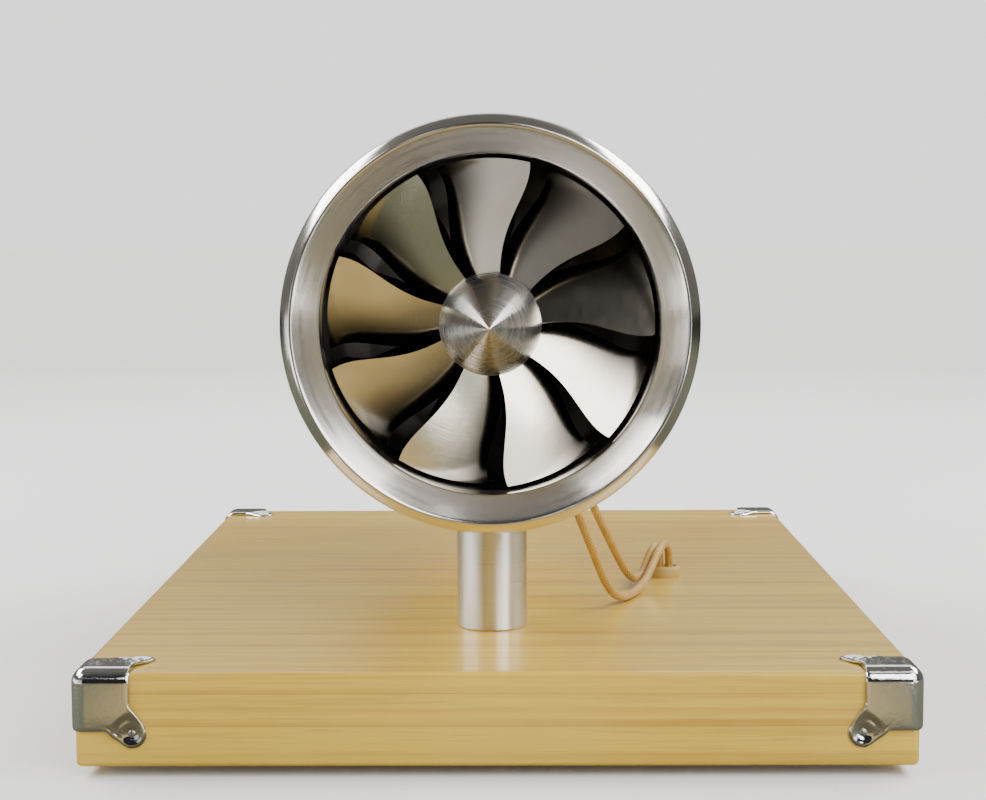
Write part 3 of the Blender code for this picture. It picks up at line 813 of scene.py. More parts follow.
def dress(
    piece: bpy.types.Object,
    finish: Finish,
    body: str = STAND,
    stands_for: Sequence[str] = (),
) -> bpy.types.Object:
    """Gives a new piece its finish, its body and the solids that it stands for.

    Args:
        piece: The new object.
        finish: Its finish.
        body: Body that it moves with.
        stands_for: Names of the solids that it replaces.

    Returns:
        The same object.
    """
    piece.data.materials.clear()
    piece.data.materials.append(finish.material())
    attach(piece, body)
    if stands_for:
        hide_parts(*stands_for)
    LOG.info("%s: %d faces on %s", piece.name, len(piece.data.polygons), body)
    return piece


def single(
    name: str,
    grid: tuple[np.ndarray, np.ndarray],
    sharp: float,
    finish: Finish,
    node: str,
    body: str = STAND,
) -> bpy.types.Object:
    """Makes a piece of one grid that stands for one solid, and dresses it.

    Args:
        name: Name of the piece.
        grid: Its points and UVs.
        sharp: Angle in degrees over which an edge is shaded sharp.
        finish: Its finish.
        node: Name of the solid that it replaces.
        body: Body that it moves with.

    Returns:
        The new object.
    """
    skin = Skin()
    skin.grid(*grid)
    return dress(skin.object(name, sharp), finish, body, (node,))


# Driving places, read from the solid model

LIP_LOW, LIP_HIGH = (np.array(corner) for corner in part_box("inlet_lip"))
BOARD_LOW, BOARD_HIGH = (np.array(corner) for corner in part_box("base_board"))
AXIS = np.array(((LIP_LOW[0] + LIP_HIGH[0]) / 2, LIP_LOW[1], (LIP_LOW[2] + LIP_HIGH[2]) / 2))
AXIS_WAY = (0.0, 1.0, 0.0)
AXIS_BACK = (0.0, -1.0, 0.0)
AXIS_POINT = tuple(float(value) for value in AXIS)
UP = (0.0, 0.0, 1.0)
DOWN = (0.0, 0.0, -1.0)

LIP_STEEL = TurnedSteel(
    "turned_steel",
    colour=(0.70, 0.67, 0.64),
    roughness=0.17,
    spread=0.3,
    centre=AXIS_POINT,
    depth=0.000009,
    groove_shade=0.04,
    stain_share=0.15,
    rough_share=0.09,
)
SPINNER_STEEL = TurnedSteel(
    "spinner_steel",
    colour=(0.68, 0.66, 0.63),
    roughness=0.24,
    spread=0.9,
    centre=AXIS_POINT,
    pitch=0.0003,
    depth=0.0000001,
    groove_shade=0.02,
    stain_share=0.1,
    rough_share=0.03,
)
CASE_STEEL = TurnedSteel(
    "case_steel",
    roughness=0.31,
    spread=0.5,
    centre=AXIS_POINT,
    pitch=0.0007,
    # Painted shade inside the duct of the cases.
    shade_within=0.0475,
    draws_in=(0.2053, 0.2420, 0.008),
)
# The blades carry painted shade towards their trailing edges.
BLADE_STEEL = BrushedBlade("blade_steel", trailing_shade=(0.0050, 0.35))
VANE_STEEL = BrushedBlade(
    "vane_steel",
    colour=(0.065, 0.061, 0.057),
    tint=(0.045, 0.040, 0.036),
    roughness=0.42,
    scratch_share=0.03,
)
DARK_STEEL = DarkSteel("dark_steel")
SCREW_STEEL = DarkSteel("screw_steel", colour=(0.42, 0.41, 0.39), worn=(0.62, 0.61, 0.58), roughness=0.3)
CHROME = Chrome("chrome")
WOOD = VarnishedWood("varnished_wood", board_low=float(BOARD_LOW[2]))
SLEEVE = BraidedSleeve("amber_sleeve")
RUBBER = Moulded("foot_rubber", roughness=0.72, grain_height=0.00005)
PLASTIC = Moulded("black_plastic", roughness=0.42)
GROMMET_RUBBER = Moulded("amber_rubber", colour=(0.42, 0.26, 0.06), dust=(0.50, 0.38, 0.16), roughness=0.45)


@dataclass
class Studio:
    """Camera at the photograph's place, soft light and a pale floor."""

    location: tuple[float, float, float] = (0.00369, -0.68539, 0.14336)
    pitch: float = -0.08383
    yaw: float = -0.00828
    roll: float = -0.00379
    lens: float = 75.80
    sensor: float = 36.0
    floor_size: float = 12.0
    lamp_target: tuple[float, float, float] = (0.0, -0.10, 0.11)
    pale: Colour = (0.17, 0.167, 0.15)
    dim: Colour = (0.020, 0.020, 0.021)
    dims_from: float = 0.25
    dims_to: float = -0.85
    backdrop: Colour = (1.62, 1.62, 1.60)

    def build(self) -> None:
        """Builds the camera, the floor, the world and the lamps."""
        self.build_camera()
        self.build_floor()
        self.build_world()
        self.build_lamps()

    def build_camera(self) -> None:
        """Turns the camera by its pitch, yaw and roll, and makes it the scene's own."""
        flat = math.cos(self.pitch)
        ahead = Vector((math.sin(self.yaw) * flat, math.cos(self.yaw) * flat, math.sin(self.pitch)))
        level = Vector((math.cos(self.yaw), -math.sin(self.yaw), 0.0))
        above = level.cross(ahead)
        right = math.cos(self.roll) * level + math.sin(self.roll) * above
        top = right.cross(ahead)
        turn = Matrix((right, top, -ahead)).transposed().to_4x4()
        data = bpy.data.cameras.new("photo_camera")
        data.lens = self.lens
        data.sensor_width = self.sensor
        data.sensor_fit = 'HORIZONTAL'
        data.clip_start = 0.01
        camera = bpy.data.objects.new("photo_camera", data)
        camera.matrix_world = Matrix.Translation(self.location) @ turn
        bpy.context.scene.collection.objects.link(camera)
        bpy.context.scene.camera = camera

    def build_floor(self) -> None:
        """Lays one flat pale sheet at the height of the feet."""
        reach = np.linspace(-self.floor_size, self.floor_size, 3)
        x, y = np.meshgrid(reach, reach)
        skin = Skin()
        skin.grid(np.stack((x, y, np.zeros_like(x)), axis=-1), np.stack((x, y), axis=-1))
        floor = skin.object("studio_floor")
        floor.data.materials.append(StudioFloor("studio_floor").material())

    def build_world(self) -> None:
        """Pale all round and dimmer towards the camera side, which gives the steel depth.

        The way's y carries the shade from pale at dims_from to dim at dims_to. The camera itself sees
        the bright backdrop instead.
        """
        world = bpy.data.worlds.new("studio")
        world.use_nodes = True
        bpy.context.scene.world = world
        tree = world.node_tree
        tree.nodes.clear()

        def add(kind: str, **settings: object) -> bpy.types.Node:
            """Adds a node of the world."""
            node = tree.nodes.new("ShaderNode" + kind)
            for key, value in settings.items():
                setattr(node, key, value)
            return node

        way = add("TexCoord")
        parts = add("SeparateXYZ")
        tree.links.new(way.outputs["Generated"], parts.inputs[0])
        front = add("MapRange", interpolation_type='SMOOTHSTEP')
        front.inputs[1].default_value = self.dims_from
        front.inputs[2].default_value = self.dims_to
        tree.links.new(parts.outputs[1], front.inputs[0])
        shade = add("Mix", data_type='RGBA')
        tree.links.new(front.outputs[0], shade.inputs["Factor"])
        colours = [socket for socket in shade.inputs if socket.type == 'RGBA']
        colours[0].default_value = paint(self.pale)
        colours[1].default_value = paint(self.dim)
        lit = add("Background")
        tree.links.new([out for out in shade.outputs if out.type == 'RGBA'][0], lit.inputs[0])
        seen = add("Background")
        seen.inputs[0].default_value = paint(self.backdrop)
        path = add("LightPath")
        choice = add("MixShader")
        tree.links.new(path.outputs["Is Camera Ray"], choice.inputs[0])
        tree.links.new(lit.outputs[0], choice.inputs[1])
        tree.links.new(seen.outputs[0], choice.inputs[2])
        out = add("OutputWorld")
        tree.links.new(choice.outputs[0], out.inputs[0])

    def lamp(
        self,
        name: str,
        polar: float,
        clock: float,
        distance: float,
        size: tuple[float, float],
        power: float,
    ) -> None:
        """Hangs one soft lamp.

        Args:
            name: Its name.
            polar: Angle in degrees between the lamp and the way to the camera.
            clock: Angle in degrees clockwise from the top, seen by the camera.
            distance: Distance from the intake.
            size: Width and height.
            power: Power in watts.
        """
        tilt, turn = math.radians(polar), math.radians(clock)
        way = Vector((math.sin(tilt) * math.sin(turn), -math.cos(tilt), math.sin(tilt) * math.cos(turn)))
        data = bpy.data.lights.new(name, 'AREA')
        data.shape = 'RECTANGLE'
        data.size, data.size_y = size
        data.energy = power
        lamp = bpy.data.objects.new(name, data)
        lamp.location = Vector(self.lamp_target) + way * distance
        lamp.rotation_euler = way.to_track_quat('Z', 'Y').to_euler()
        lamp.visible_camera = False
        bpy.context.scene.collection.objects.link(lamp)

    def build_lamps(self) -> None:
        """Hangs the lamps: name, polar angle, clock angle, distance, size and power of each."""
        lamps = (
            ("lamp_key", 46.0, 47.0, 0.95, (0.70, 0.66), 9.0),
            ("lamp_right", 44.0, 86.0, 0.95, (0.34, 0.34), 0.9),
            ("lamp_high_right", 108.0, 46.0, 0.95, (0.78, 0.36), 12.5),
            ("lamp_high_left", 108.0, -50.0, 0.95, (0.76, 0.36), 12.0),
            ("lamp_rim_left", 70.0, -50.0, 0.95, (0.26, 0.44), 3.6),
            ("lamp_rim_right", 72.0, 38.0, 0.95, (0.24, 0.62), 1.1),
            ("lamp_left", 46.0, -90.0, 0.95, (0.50, 0.44), 0.48),
            ("lamp_dim_left", 46.0, -48.0, 0.95, (0.36, 0.36), 0.07),
            ("lamp_tip", 31.0, -22.0, 0.95, (0.12, 0.10), 0.30),
            ("lamp_side_left", 67.0, -88.0, 0.95, (0.16, 0.20), 0.20),
            ("lamp_lip_low", 70.0, 13.0, 0.95, (0.16, 0.20), 0.20),
            ("lamp_low_left", 88.0, -95.0, 0.60, (0.42, 0.12), 0.3),
            ("lamp_rear", 150.0, 0.0, 1.40, (1.20, 0.80), 5.0),
        )
        for lamp in lamps:
            self.lamp(*lamp)


@dataclass
class Leads:
    """The two sleeved leads from the generator into the board, their glands and the grommet."""

    radius: float = 0.0013
    case_radius: float = 0.0490
    gap: float = 0.0003
    gland_radius: float = 0.0036
    gland_length: float = 0.0075
    gland_steps: int = 48
    bore_gap: float = 0.0001
    nut_sink: float = 0.0002
    nut_height: float = 0.0024
    flat_share: float = 0.86
    ribs: int = 5
    rib_height: float = 0.00018
    sleeve_radius: float = 0.0029
    sleeve_taper: float = 0.0011
    grommet_radius: float = 0.0056
    grommet_height: float = 0.0035
    grommet_pocket: float = 0.0036
    grommet_foot: float = 0.0008
    pocket_depth: float = 0.0012
    end_rise: float = 0.0004
    sinks: float = 0.0016
    per_step: int = 10
    sides: int = 20
    grommet: tuple[float, float] = (0.0545, -0.0055)
    gland_y: dict = field(default_factory=lambda: {"front": -0.0750, "rear": -0.0440})
    gland_way: dict = field(default_factory=lambda: {
        "front": (0.400, 0.0, -0.917),
        "rear": (0.462, 0.0, -0.887),
    })
    enters_x: dict = field(default_factory=lambda: {"front": 0.0561, "rear": 0.0529})
    route: dict = field(default_factory=lambda: {
        "front": (
            (0.0234, -0.0747, 0.0588), (0.0257, -0.0735, 0.0530), (0.0280, -0.0715, 0.0470),
            (0.0302, -0.0690, 0.0412), (0.0325, -0.0655, 0.0358), (0.0352, -0.0606, 0.0316),
            (0.0382, -0.0545, 0.0296), (0.0411, -0.0475, 0.0292), (0.0437, -0.0400, 0.0294),
            (0.0462, -0.0325, 0.0305), (0.0488, -0.0250, 0.0336), (0.0514, -0.0182, 0.0375),
            (0.0537, -0.0125, 0.0392), (0.0549, -0.0093, 0.0384), (0.0558, -0.0066, 0.0360),
        ),
        "rear": (
            (0.0275, -0.0440, 0.0605), (0.0303, -0.0433, 0.0545), (0.0331, -0.0418, 0.0485),
            (0.0358, -0.0394, 0.0428), (0.0383, -0.0364, 0.0376), (0.0407, -0.0328, 0.0334),
            (0.0432, -0.0286, 0.0310), (0.0457, -0.0240, 0.0315), (0.0476, -0.0195, 0.0342),
            (0.0492, -0.0157, 0.0370), (0.0508, -0.0120, 0.0385), (0.0519, -0.0088, 0.0377),
            (0.0526, -0.0064, 0.0355),
        ),
    })

    def build(self) -> None:
        """Builds both leads, both glands and the grommet."""
        for name in self.route:
            self.build_lead(name)
            self.build_gland(name)
        self.build_grommet()

    def axis_at(self, name: str) -> np.ndarray:
        """Returns the point of the turbine axis at a gland's station."""
        return np.array((AXIS[0], self.gland_y[name], AXIS[2]))

    def path(self, name: str) -> np.ndarray:
        """Returns the centreline: a Catmull-Rom curve through the route, as whole arrays.

        Between two points the curve is 0.5 (2b + (c-a) w + (2a-5b+4c-d) w^2 + (3b-a-3c+d) w^3).
        """
        way = unit(np.array(self.gland_way[name]))
        leaves = self.axis_at(name) + way * (self.case_radius + self.gland_length + 2 * self.gap)
        top = BOARD_HIGH[2] + self.grommet_height + 2 * self.gap + self.end_rise
        enters = np.array((self.enters_x[name], self.grommet[1], top))
        inside = enters - np.array((0.0, 0.0, self.sinks))
        points = np.vstack((leaves, np.array(self.route[name]), enters, inside))
        padded = np.vstack((2 * points[0] - points[1], points, 2 * points[-1] - points[-2]))
        before, start, end, after = padded[:-3], padded[1:-2], padded[2:-1], padded[3:]
        w = (np.arange(self.per_step) / self.per_step)[None, :, None]
        before, start, end, after = (part[:, None] for part in (before, start, end, after))
        curve = 0.5 * (2 * start + (end - before) * w + (2 * before - 5 * start + 4 * end - after) * w ** 2
                       + (3 * start - before - 3 * end + after) * w ** 3)
        return np.vstack((curve.reshape(-1, 3), points[-1:]))

    def build_lead(self, name: str) -> None:
        """Carries a circle along the path: path + radius (cos a side + sin a up), with closed ends."""
        line = self.path(name)
        tangent = unit(np.gradient(line, axis=0))
        side = unit(np.cross(tangent, np.array((1.0, 0.0, 0.0))))
        above = np.cross(side, tangent)
        travel = travelled(line)
        rows = np.concatenate(([0], np.arange(len(line)), [len(line) - 1]))
        scale = np.concatenate(([0.0], np.ones(len(line)), [0.0]))
        angle = np.linspace(0.0, 2.0 * math.pi, self.sides + 1)
        ring = (np.cos(angle)[None, :, None] * side[rows][:, None]
                + np.sin(angle)[None, :, None] * above[rows][:, None])
        points = line[rows][:, None] + self.radius * scale[:, None, None] * ring
        grid = (points, round_uv(angle, travel[rows][:, None]))
        lead = single("sleeved_lead_" + name, grid, 60.0, SLEEVE, "lead_" + name)

    def build_gland(self, name: str) -> None:
        """A hexagon nut against the case and a ribbed sleeve that tapers to the lead."""
        bore = self.radius + self.bore_gap
        start = self.case_radius - self.nut_sink
        nut_top = self.case_radius + self.nut_height
        flat = self.gland_radius * self.flat_share
        way = np.linspace(0.0, 1.0, self.ribs * 8 + 1)
        rib = self.rib_height * np.cos(way * self.ribs * 2.0 * math.pi)
        sleeve_radius = self.sleeve_radius - self.sleeve_taper * way + rib
        sleeve_s = nut_top + way * (self.gland_length - self.nut_height)
        sleeve = np.stack((sleeve_s, sleeve_radius), axis=1)
        section = np.vstack(([(start, bore), (start, flat), (nut_top, flat)], sleeve, [(sleeve_s[-1], bore)]))
        hexes = np.zeros(len(section), dtype=bool)
        hexes[1:3] = True
        sides = hexagon(hexes, self.gland_steps)
        grid = turned(section, self.axis_at(name), self.gland_way[name], self.gland_steps, sides)
        single("ribbed_gland_" + name, grid, 35.0, PLASTIC, "lead_gland_" + name)

    def build_grommet(self) -> None:
        """A domed rubber ring on the board with a pocket that both leads go into."""
        radius, height, pocket = self.grommet_radius, self.grommet_height, self.grommet_pocket
        crest = (height, (radius + pocket) / 2)
        floor = height - self.pocket_depth
        section = np.vstack((
            [(0.0, 0.0), (0.0, radius)],
            bezier((self.grommet_foot, radius), (height, radius * 0.98), crest, 14),
            bezier(crest, (height, pocket), (floor, pocket), 10),
            [(floor, 0.0)],
        ))
        grid = turned(section, (*self.grommet, float(BOARD_HIGH[2])), UP, 64)
        single("domed_grommet", grid, 50.0, GROMMET_RUBBER, "board_grommet")


@dataclass
class Board:
    """The laminated board, its feet, and the screws that hold the posts and feet from below."""

    edge_round: float = 0.0016
    foot_radius: float = 0.009
    foot_height: float = 0.0025
    foot_edge: float = 0.00045
    foot_pocket: tuple[float, float] = (0.0032, 0.0012)
    post_screw: tuple[float, float] = (0.0042, 0.0016)
    foot_screw: tuple[float, float] = (0.0026, 0.0009)
    foot_screw_seat: float = 0.0013

    def build(self) -> None:
        """Builds the board, the feet and the screws."""
        self.build_board()
        self.build_feet()
        self.build_screws()

    def build_board(self) -> None:
        """Six grids on a box, each point p moved to q + r (p - q) / |p - q|.

        q is p held inside the box shrunk by the edge radius r, so that flat faces stay flat and edges
        and corners are round. The grids are dense near the edges only.
        """
        low, high = BOARD_LOW, BOARD_HIGH
        radius = self.edge_round

        def stops(axis: int) -> np.ndarray:
            """Returns the grid's stops along one axis: seven over each rounding, and the middle."""
            turn = radius * (1.0 - np.tan(np.linspace(1.0, 0.0, 7) * math.pi / 4))
            inner = np.linspace(low[axis] + 1.3 * radius, high[axis] - 1.3 * radius, 9)
            return np.concatenate((low[axis] + turn, inner, (high[axis] - turn)[::-1]))

        skin = Skin()
        for normal, first, second in ((0, 1, 2), (1, 2, 0), (2, 0, 1)):
            a, b = np.meshgrid(stops(first), stops(second), indexing="ij")
            for level in (low[normal], high[normal]):
                points = np.zeros(a.shape + (3,))
                points[..., normal], points[..., first], points[..., second] = level, a, b
                core = np.clip(points, low + radius, high - radius)
                skin.grid(core + radius * unit(points - core), np.stack((a, b), axis=-1))
        dress(skin.object("laminated_board", 60.0), WOOD, stands_for=("base_board",))

    def build_feet(self) -> None:
        """Four rubber discs with round edges and a screw pocket below."""
        pocket, depth = self.foot_pocket
        outline = [(self.foot_height, 0.0), (self.foot_height, self.foot_radius), (0.0, self.foot_radius),
                   (0.0, pocket), (depth, pocket), (depth, 0.0)]
        section = softened(outline, self.foot_edge, 6, closed=False)
        for side in Side:
            name = "foot_" + side.name.lower()
            x, y, _ = middle_of(name)
            single("rubber_" + name, turned(section, (x, y, 0.0), UP, 64), 50.0, RUBBER, name)

    def build_screws(self) -> None:
        """Pan screws under the board below the posts and in the feet, each with a hexagon pocket."""
        skin = Skin()
        for name in POSTS:
            x, y, _ = middle_of(name)
            self.add_screw(skin, (x, y, float(BOARD_LOW[2])), *self.post_screw)
        for side in Side:
            x, y, _ = middle_of("foot_" + side.name.lower())
            self.add_screw(skin, (x, y, self.foot_screw_seat), *self.foot_screw)
        dress(skin.object("underside_screws", 35.0), SCREW_STEEL)

    def add_screw(self, skin: Skin, top: Sequence[float], radius: float, height: float) -> None:
        """Adds a domed screw head that hangs below a point.

        Args:
            skin: Mesh that it joins.
            top: Middle of the face that it is screwed against.
            radius: Radius of the head.
            height: Height of the head.
        """
        dome = bezier((0.0, radius), (height, radius), (height, radius * 0.45), 10)
        pocket = np.array(((height * 0.35, radius * 0.38), (height * 0.35, 0.0)))
        section = np.vstack(([(0.0, 0.0)], dome, pocket))
        rows = np.zeros(len(section), dtype=bool)
        rows[-3:-1] = True
        skin.grid(*turned(section, top, DOWN, 36, hexagon(rows, 36)))


@dataclass
class CornerGuards:
    """Bright pressed guards over the board's top corners, with three nailed ears each."""

    width: float = 0.0157
    height: float = 0.0168
    sheet: float = 0.0007
    corner_round: float = 0.0040
    proud: float = 0.0012
    ear_radius: float = 0.0039
    ear_out: float = 0.0004
    ear_level: float = 0.00062
    edge_drop: float = 0.00080
    edge_width: float = 0.0013
    crown: float = 0.0040
    crown_middle: float = 0.0086
    dish_depth: float = 0.00022
    rim_height: float = 0.00018
    rim_width: float = 0.0005
    hole_radius: float = 0.0015
    hole_depth: float = 0.0003
    end_roll: float = 0.00025
    join_blend: float = 0.0007
    nail_radius: float = 0.00105
    nail_height: float = 0.00058
    rays: int = 73
    rings: int = 64
    ray_shift: float = 0.10
    ring_power: float = 1.15

    def reach(self, angle: np.ndarray, wide: float, tall: float) -> np.ndarray:
        """Returns how far a flap reaches from the corner along each ray.

        The reach is the larger of the square's (the smaller of wide / cos and tall / sin) and the ear's
        (the far crossing of the ray with the ear's circle), and a soft maximum joins the two.

        Args:
            angle: Angle of each ray from the first edge.
            wide: Length of the first edge.
            tall: Length of the second edge.

        Returns:
            The reach of each ray.
        """
        across, up = np.maximum(np.cos(angle), 1e-9), np.maximum(np.sin(angle), 1e-9)
        square = np.minimum(wide / across, tall / up)
        centre = np.array((wide + self.ear_out, tall + self.ear_out))
        along = centre[0] * np.cos(angle) + centre[1] * np.sin(angle)
        off = centre[0] * np.sin(angle) - centre[1] * np.cos(angle)
        inside = np.sqrt(np.maximum(self.ear_radius ** 2 - off ** 2, 0.0))
        ear = along + inside - 60.0 * np.maximum(np.abs(off) - self.ear_radius, 0.0) ** 1.5
        gap = ear - square
        rise = 0.5 * (gap + np.sqrt(gap * gap + self.join_blend * self.join_blend))
        return square + rise * smooth_step(-0.006, 0.0, gap)

    def drop(
        self,
        first: np.ndarray,
        second: np.ndarray,
        left: np.ndarray,
        wide: float,
        tall: float,
    ) -> np.ndarray:
        """Returns how far a flap's outer face lies below the guard's outermost plane.

        The face is a low crown about the flap's middle. It falls over a round shoulder at its free
        edges, and over another round the ear, whose own face is a shallow dish with a raised rim.

        Args:
            first: Distance along the first edge.
            second: Distance along the second edge.
            left: Distance still left to the free edge, along the ray.
            wide: Length of the first edge.
            tall: Length of the second edge.

        Returns:
            The drop at each point.
        """
        from_middle = np.hypot(first - self.crown_middle, second - self.crown_middle)
        crown = self.crown * from_middle ** 2 / self.crown_middle
        way = np.clip(1.0 - left / self.edge_width, 0.0, 1.0)
        shoulder = self.edge_drop * (1.0 - np.sqrt(np.maximum(1.0 - way ** 2, 0.0)))
        from_ear = np.hypot(first - wide - self.ear_out, second - tall - self.ear_out)
        share = 1.0 - smooth_step(self.ear_radius - 0.0002, self.ear_radius + 0.0014, from_ear)
        rim = np.exp(-((from_ear - 0.8 * self.ear_radius) / self.rim_width) ** 2)
        dish = smooth_step(0.8 * self.ear_radius, 0.2 * self.ear_radius, from_ear)
        hole = smooth_step(self.hole_radius + 0.0002, self.hole_radius - 0.0003, from_ear)
        ear = self.ear_level - self.rim_height * rim + self.dish_depth * dish + self.hole_depth * hole
        face = crown + np.maximum(shoulder, 0.0)
        end_roll = self.end_roll * smooth_step(0.0007, 0.0, left)
        return face * (1.0 - share) + (ear + end_roll) * share

    def flap(self, first: int, second: int) -> np.ndarray:
        """Returns one flap as rays and rings from the corner, in the guard's own frame.

        A point p of the flat flap is carried onto a box with round edges, q + r (p - q) / |p - q| with
        q = max(p, r), and then moved inwards by its drop along the same direction.

        Args:
            first: Axis of its first edge.
            second: Axis of its second edge.

        Returns:
            Points of shape (rings, rays, 3).
        """
        spans = (self.width, self.width, self.height)
        wide, tall = spans[first], spans[second]
        straight = np.linspace(0.0, math.pi / 2, self.rays)
        toward = math.atan2(tall, wide)
        shift = self.ray_shift * np.sin(2.0 * np.pi * straight / (math.pi / 2))
        angle = straight - shift * toward / (math.pi / 4)
        reach = self.reach(angle, wide, tall)
        ring = np.linspace(0.0, 1.0, self.rings)[:, None]
        distance = (1.0 - (1.0 - ring) ** self.ring_power) * reach[None]
        a, b = distance * np.cos(angle), distance * np.sin(angle)
        flat = np.zeros(a.shape + (3,))
        flat[..., first], flat[..., second] = a, b
        core = np.maximum(flat, self.corner_round)
        outward = unit(flat - core)
        drop = self.drop(a, b, reach[None] - distance, wide, tall)
        return core + outward * (self.corner_round - drop[..., None])

    def build(self) -> None:
        """Builds a guard and its nails at each corner of the board."""
        nails = Skin()
        for side in Side:
            sign = np.array((side.value[0], side.value[1], 1.0))
            outer = np.where(sign > 0, BOARD_HIGH, BOARD_LOW) + sign * self.proud
            skin = Skin()
            for axes in ((0, 1, 2), (1, 2, 0), (2, 0, 1)):
                points = outer - sign * self.flap(*axes[1:])
                shares = (np.linspace(0, 1, count) for count in points.shape[:2])
                skin.grid(points, np.stack(np.meshgrid(*shares, indexing="ij"), axis=-1))
                self.add_nail(nails, outer, sign, *axes)
            name = "corner_guard_" + side.name.lower()
            guard = skin.object("pressed_" + name, 50.0)
            wall = guard.modifiers.new("sheet", 'SOLIDIFY')
            wall.thickness = self.sheet
            wall.offset = -1.0
            dress(guard, CHROME, stands_for=(name,))
        dress(nails.object("guard_nails", 45.0), SCREW_STEEL)

    def add_nail(
        self,
        skin: Skin,
        outer: np.ndarray,
        sign: np.ndarray,
        normal: int,
        first: int,
        second: int,
    ) -> None:
        """Adds the domed head of the nail in one ear.

        Args:
            skin: Mesh that it joins.
            outer: The guard's outermost corner.
            sign: Signs that turn the guard's own frame into the model's.
            normal: Axis that the flap faces.
            first: Axis of its first edge.
            second: Axis of its second edge.
        """
        spans = (self.width, self.width, self.height)
        place = np.zeros(3)
        place[first], place[second] = spans[first] + self.ear_out, spans[second] + self.ear_out
        place[normal] = self.proud
        way = np.zeros(3)
        way[normal] = sign[normal]
        radius, height = self.nail_radius, self.nail_height
        dome = bezier((0.00012, radius), (0.00052, 0.0010), (height, 0.0), 8)
        section = np.vstack(([(0.0, 0.0), (0.0, radius)], dome))
        skin.grid(*turned(section, outer - sign * place, way, 24))


@dataclass
class Posts:
    """Two polished round posts whose tops are milled to the case."""

    radius: float = 0.0101
    case_radius: float = 0.0490
    foot_edge: float = 0.0004
    steps: int = 96

    def build(self) -> None:
        """A tube whose top edge is axis height - sqrt(R^2 - x^2), closed by the same saddle."""
        for name in POSTS:
            middle = middle_of(name)
            angle = np.linspace(0.0, 2.0 * math.pi, self.steps + 1)
            foot = float(BOARD_HIGH[2])
            inner = np.array((0.0, self.radius - self.foot_edge))
            radii = np.concatenate((inner, [self.radius, self.radius, self.radius], [0.6 * self.radius, 0.0]))
            rises = np.array((0.0, 0.0, self.foot_edge, 3.0 * self.foot_edge))
            x = radii[:, None] * np.cos(angle)[None]
            y = radii[:, None] * np.sin(angle)[None]
            saddle = AXIS[2] - np.sqrt(self.case_radius ** 2 - (x + middle[0] - AXIS[0]) ** 2)
            z = np.where(np.arange(len(radii))[:, None] >= len(rises), saddle, foot)
            z[:len(rises)] += rises[:, None]
            points = np.stack((middle[0] + x, middle[1] + y, z), axis=-1)
            steel = TurnedSteel(
                "post_steel_" + name.removeprefix("post_"),
                colour=(0.82, 0.80, 0.77),
                roughness=0.34,
                spread=0.85,
                axis=Axis.UPRIGHT,
                centre=(float(middle[0]), float(middle[1]), 0.0),
                pitch=0.0005,
                depth=0.000005,
                groove_shade=0.05,
                stain_share=0.1,
            )
            single("polished_" + name, (points, round_uv(angle, z - foot)), 30.0, steel, name)


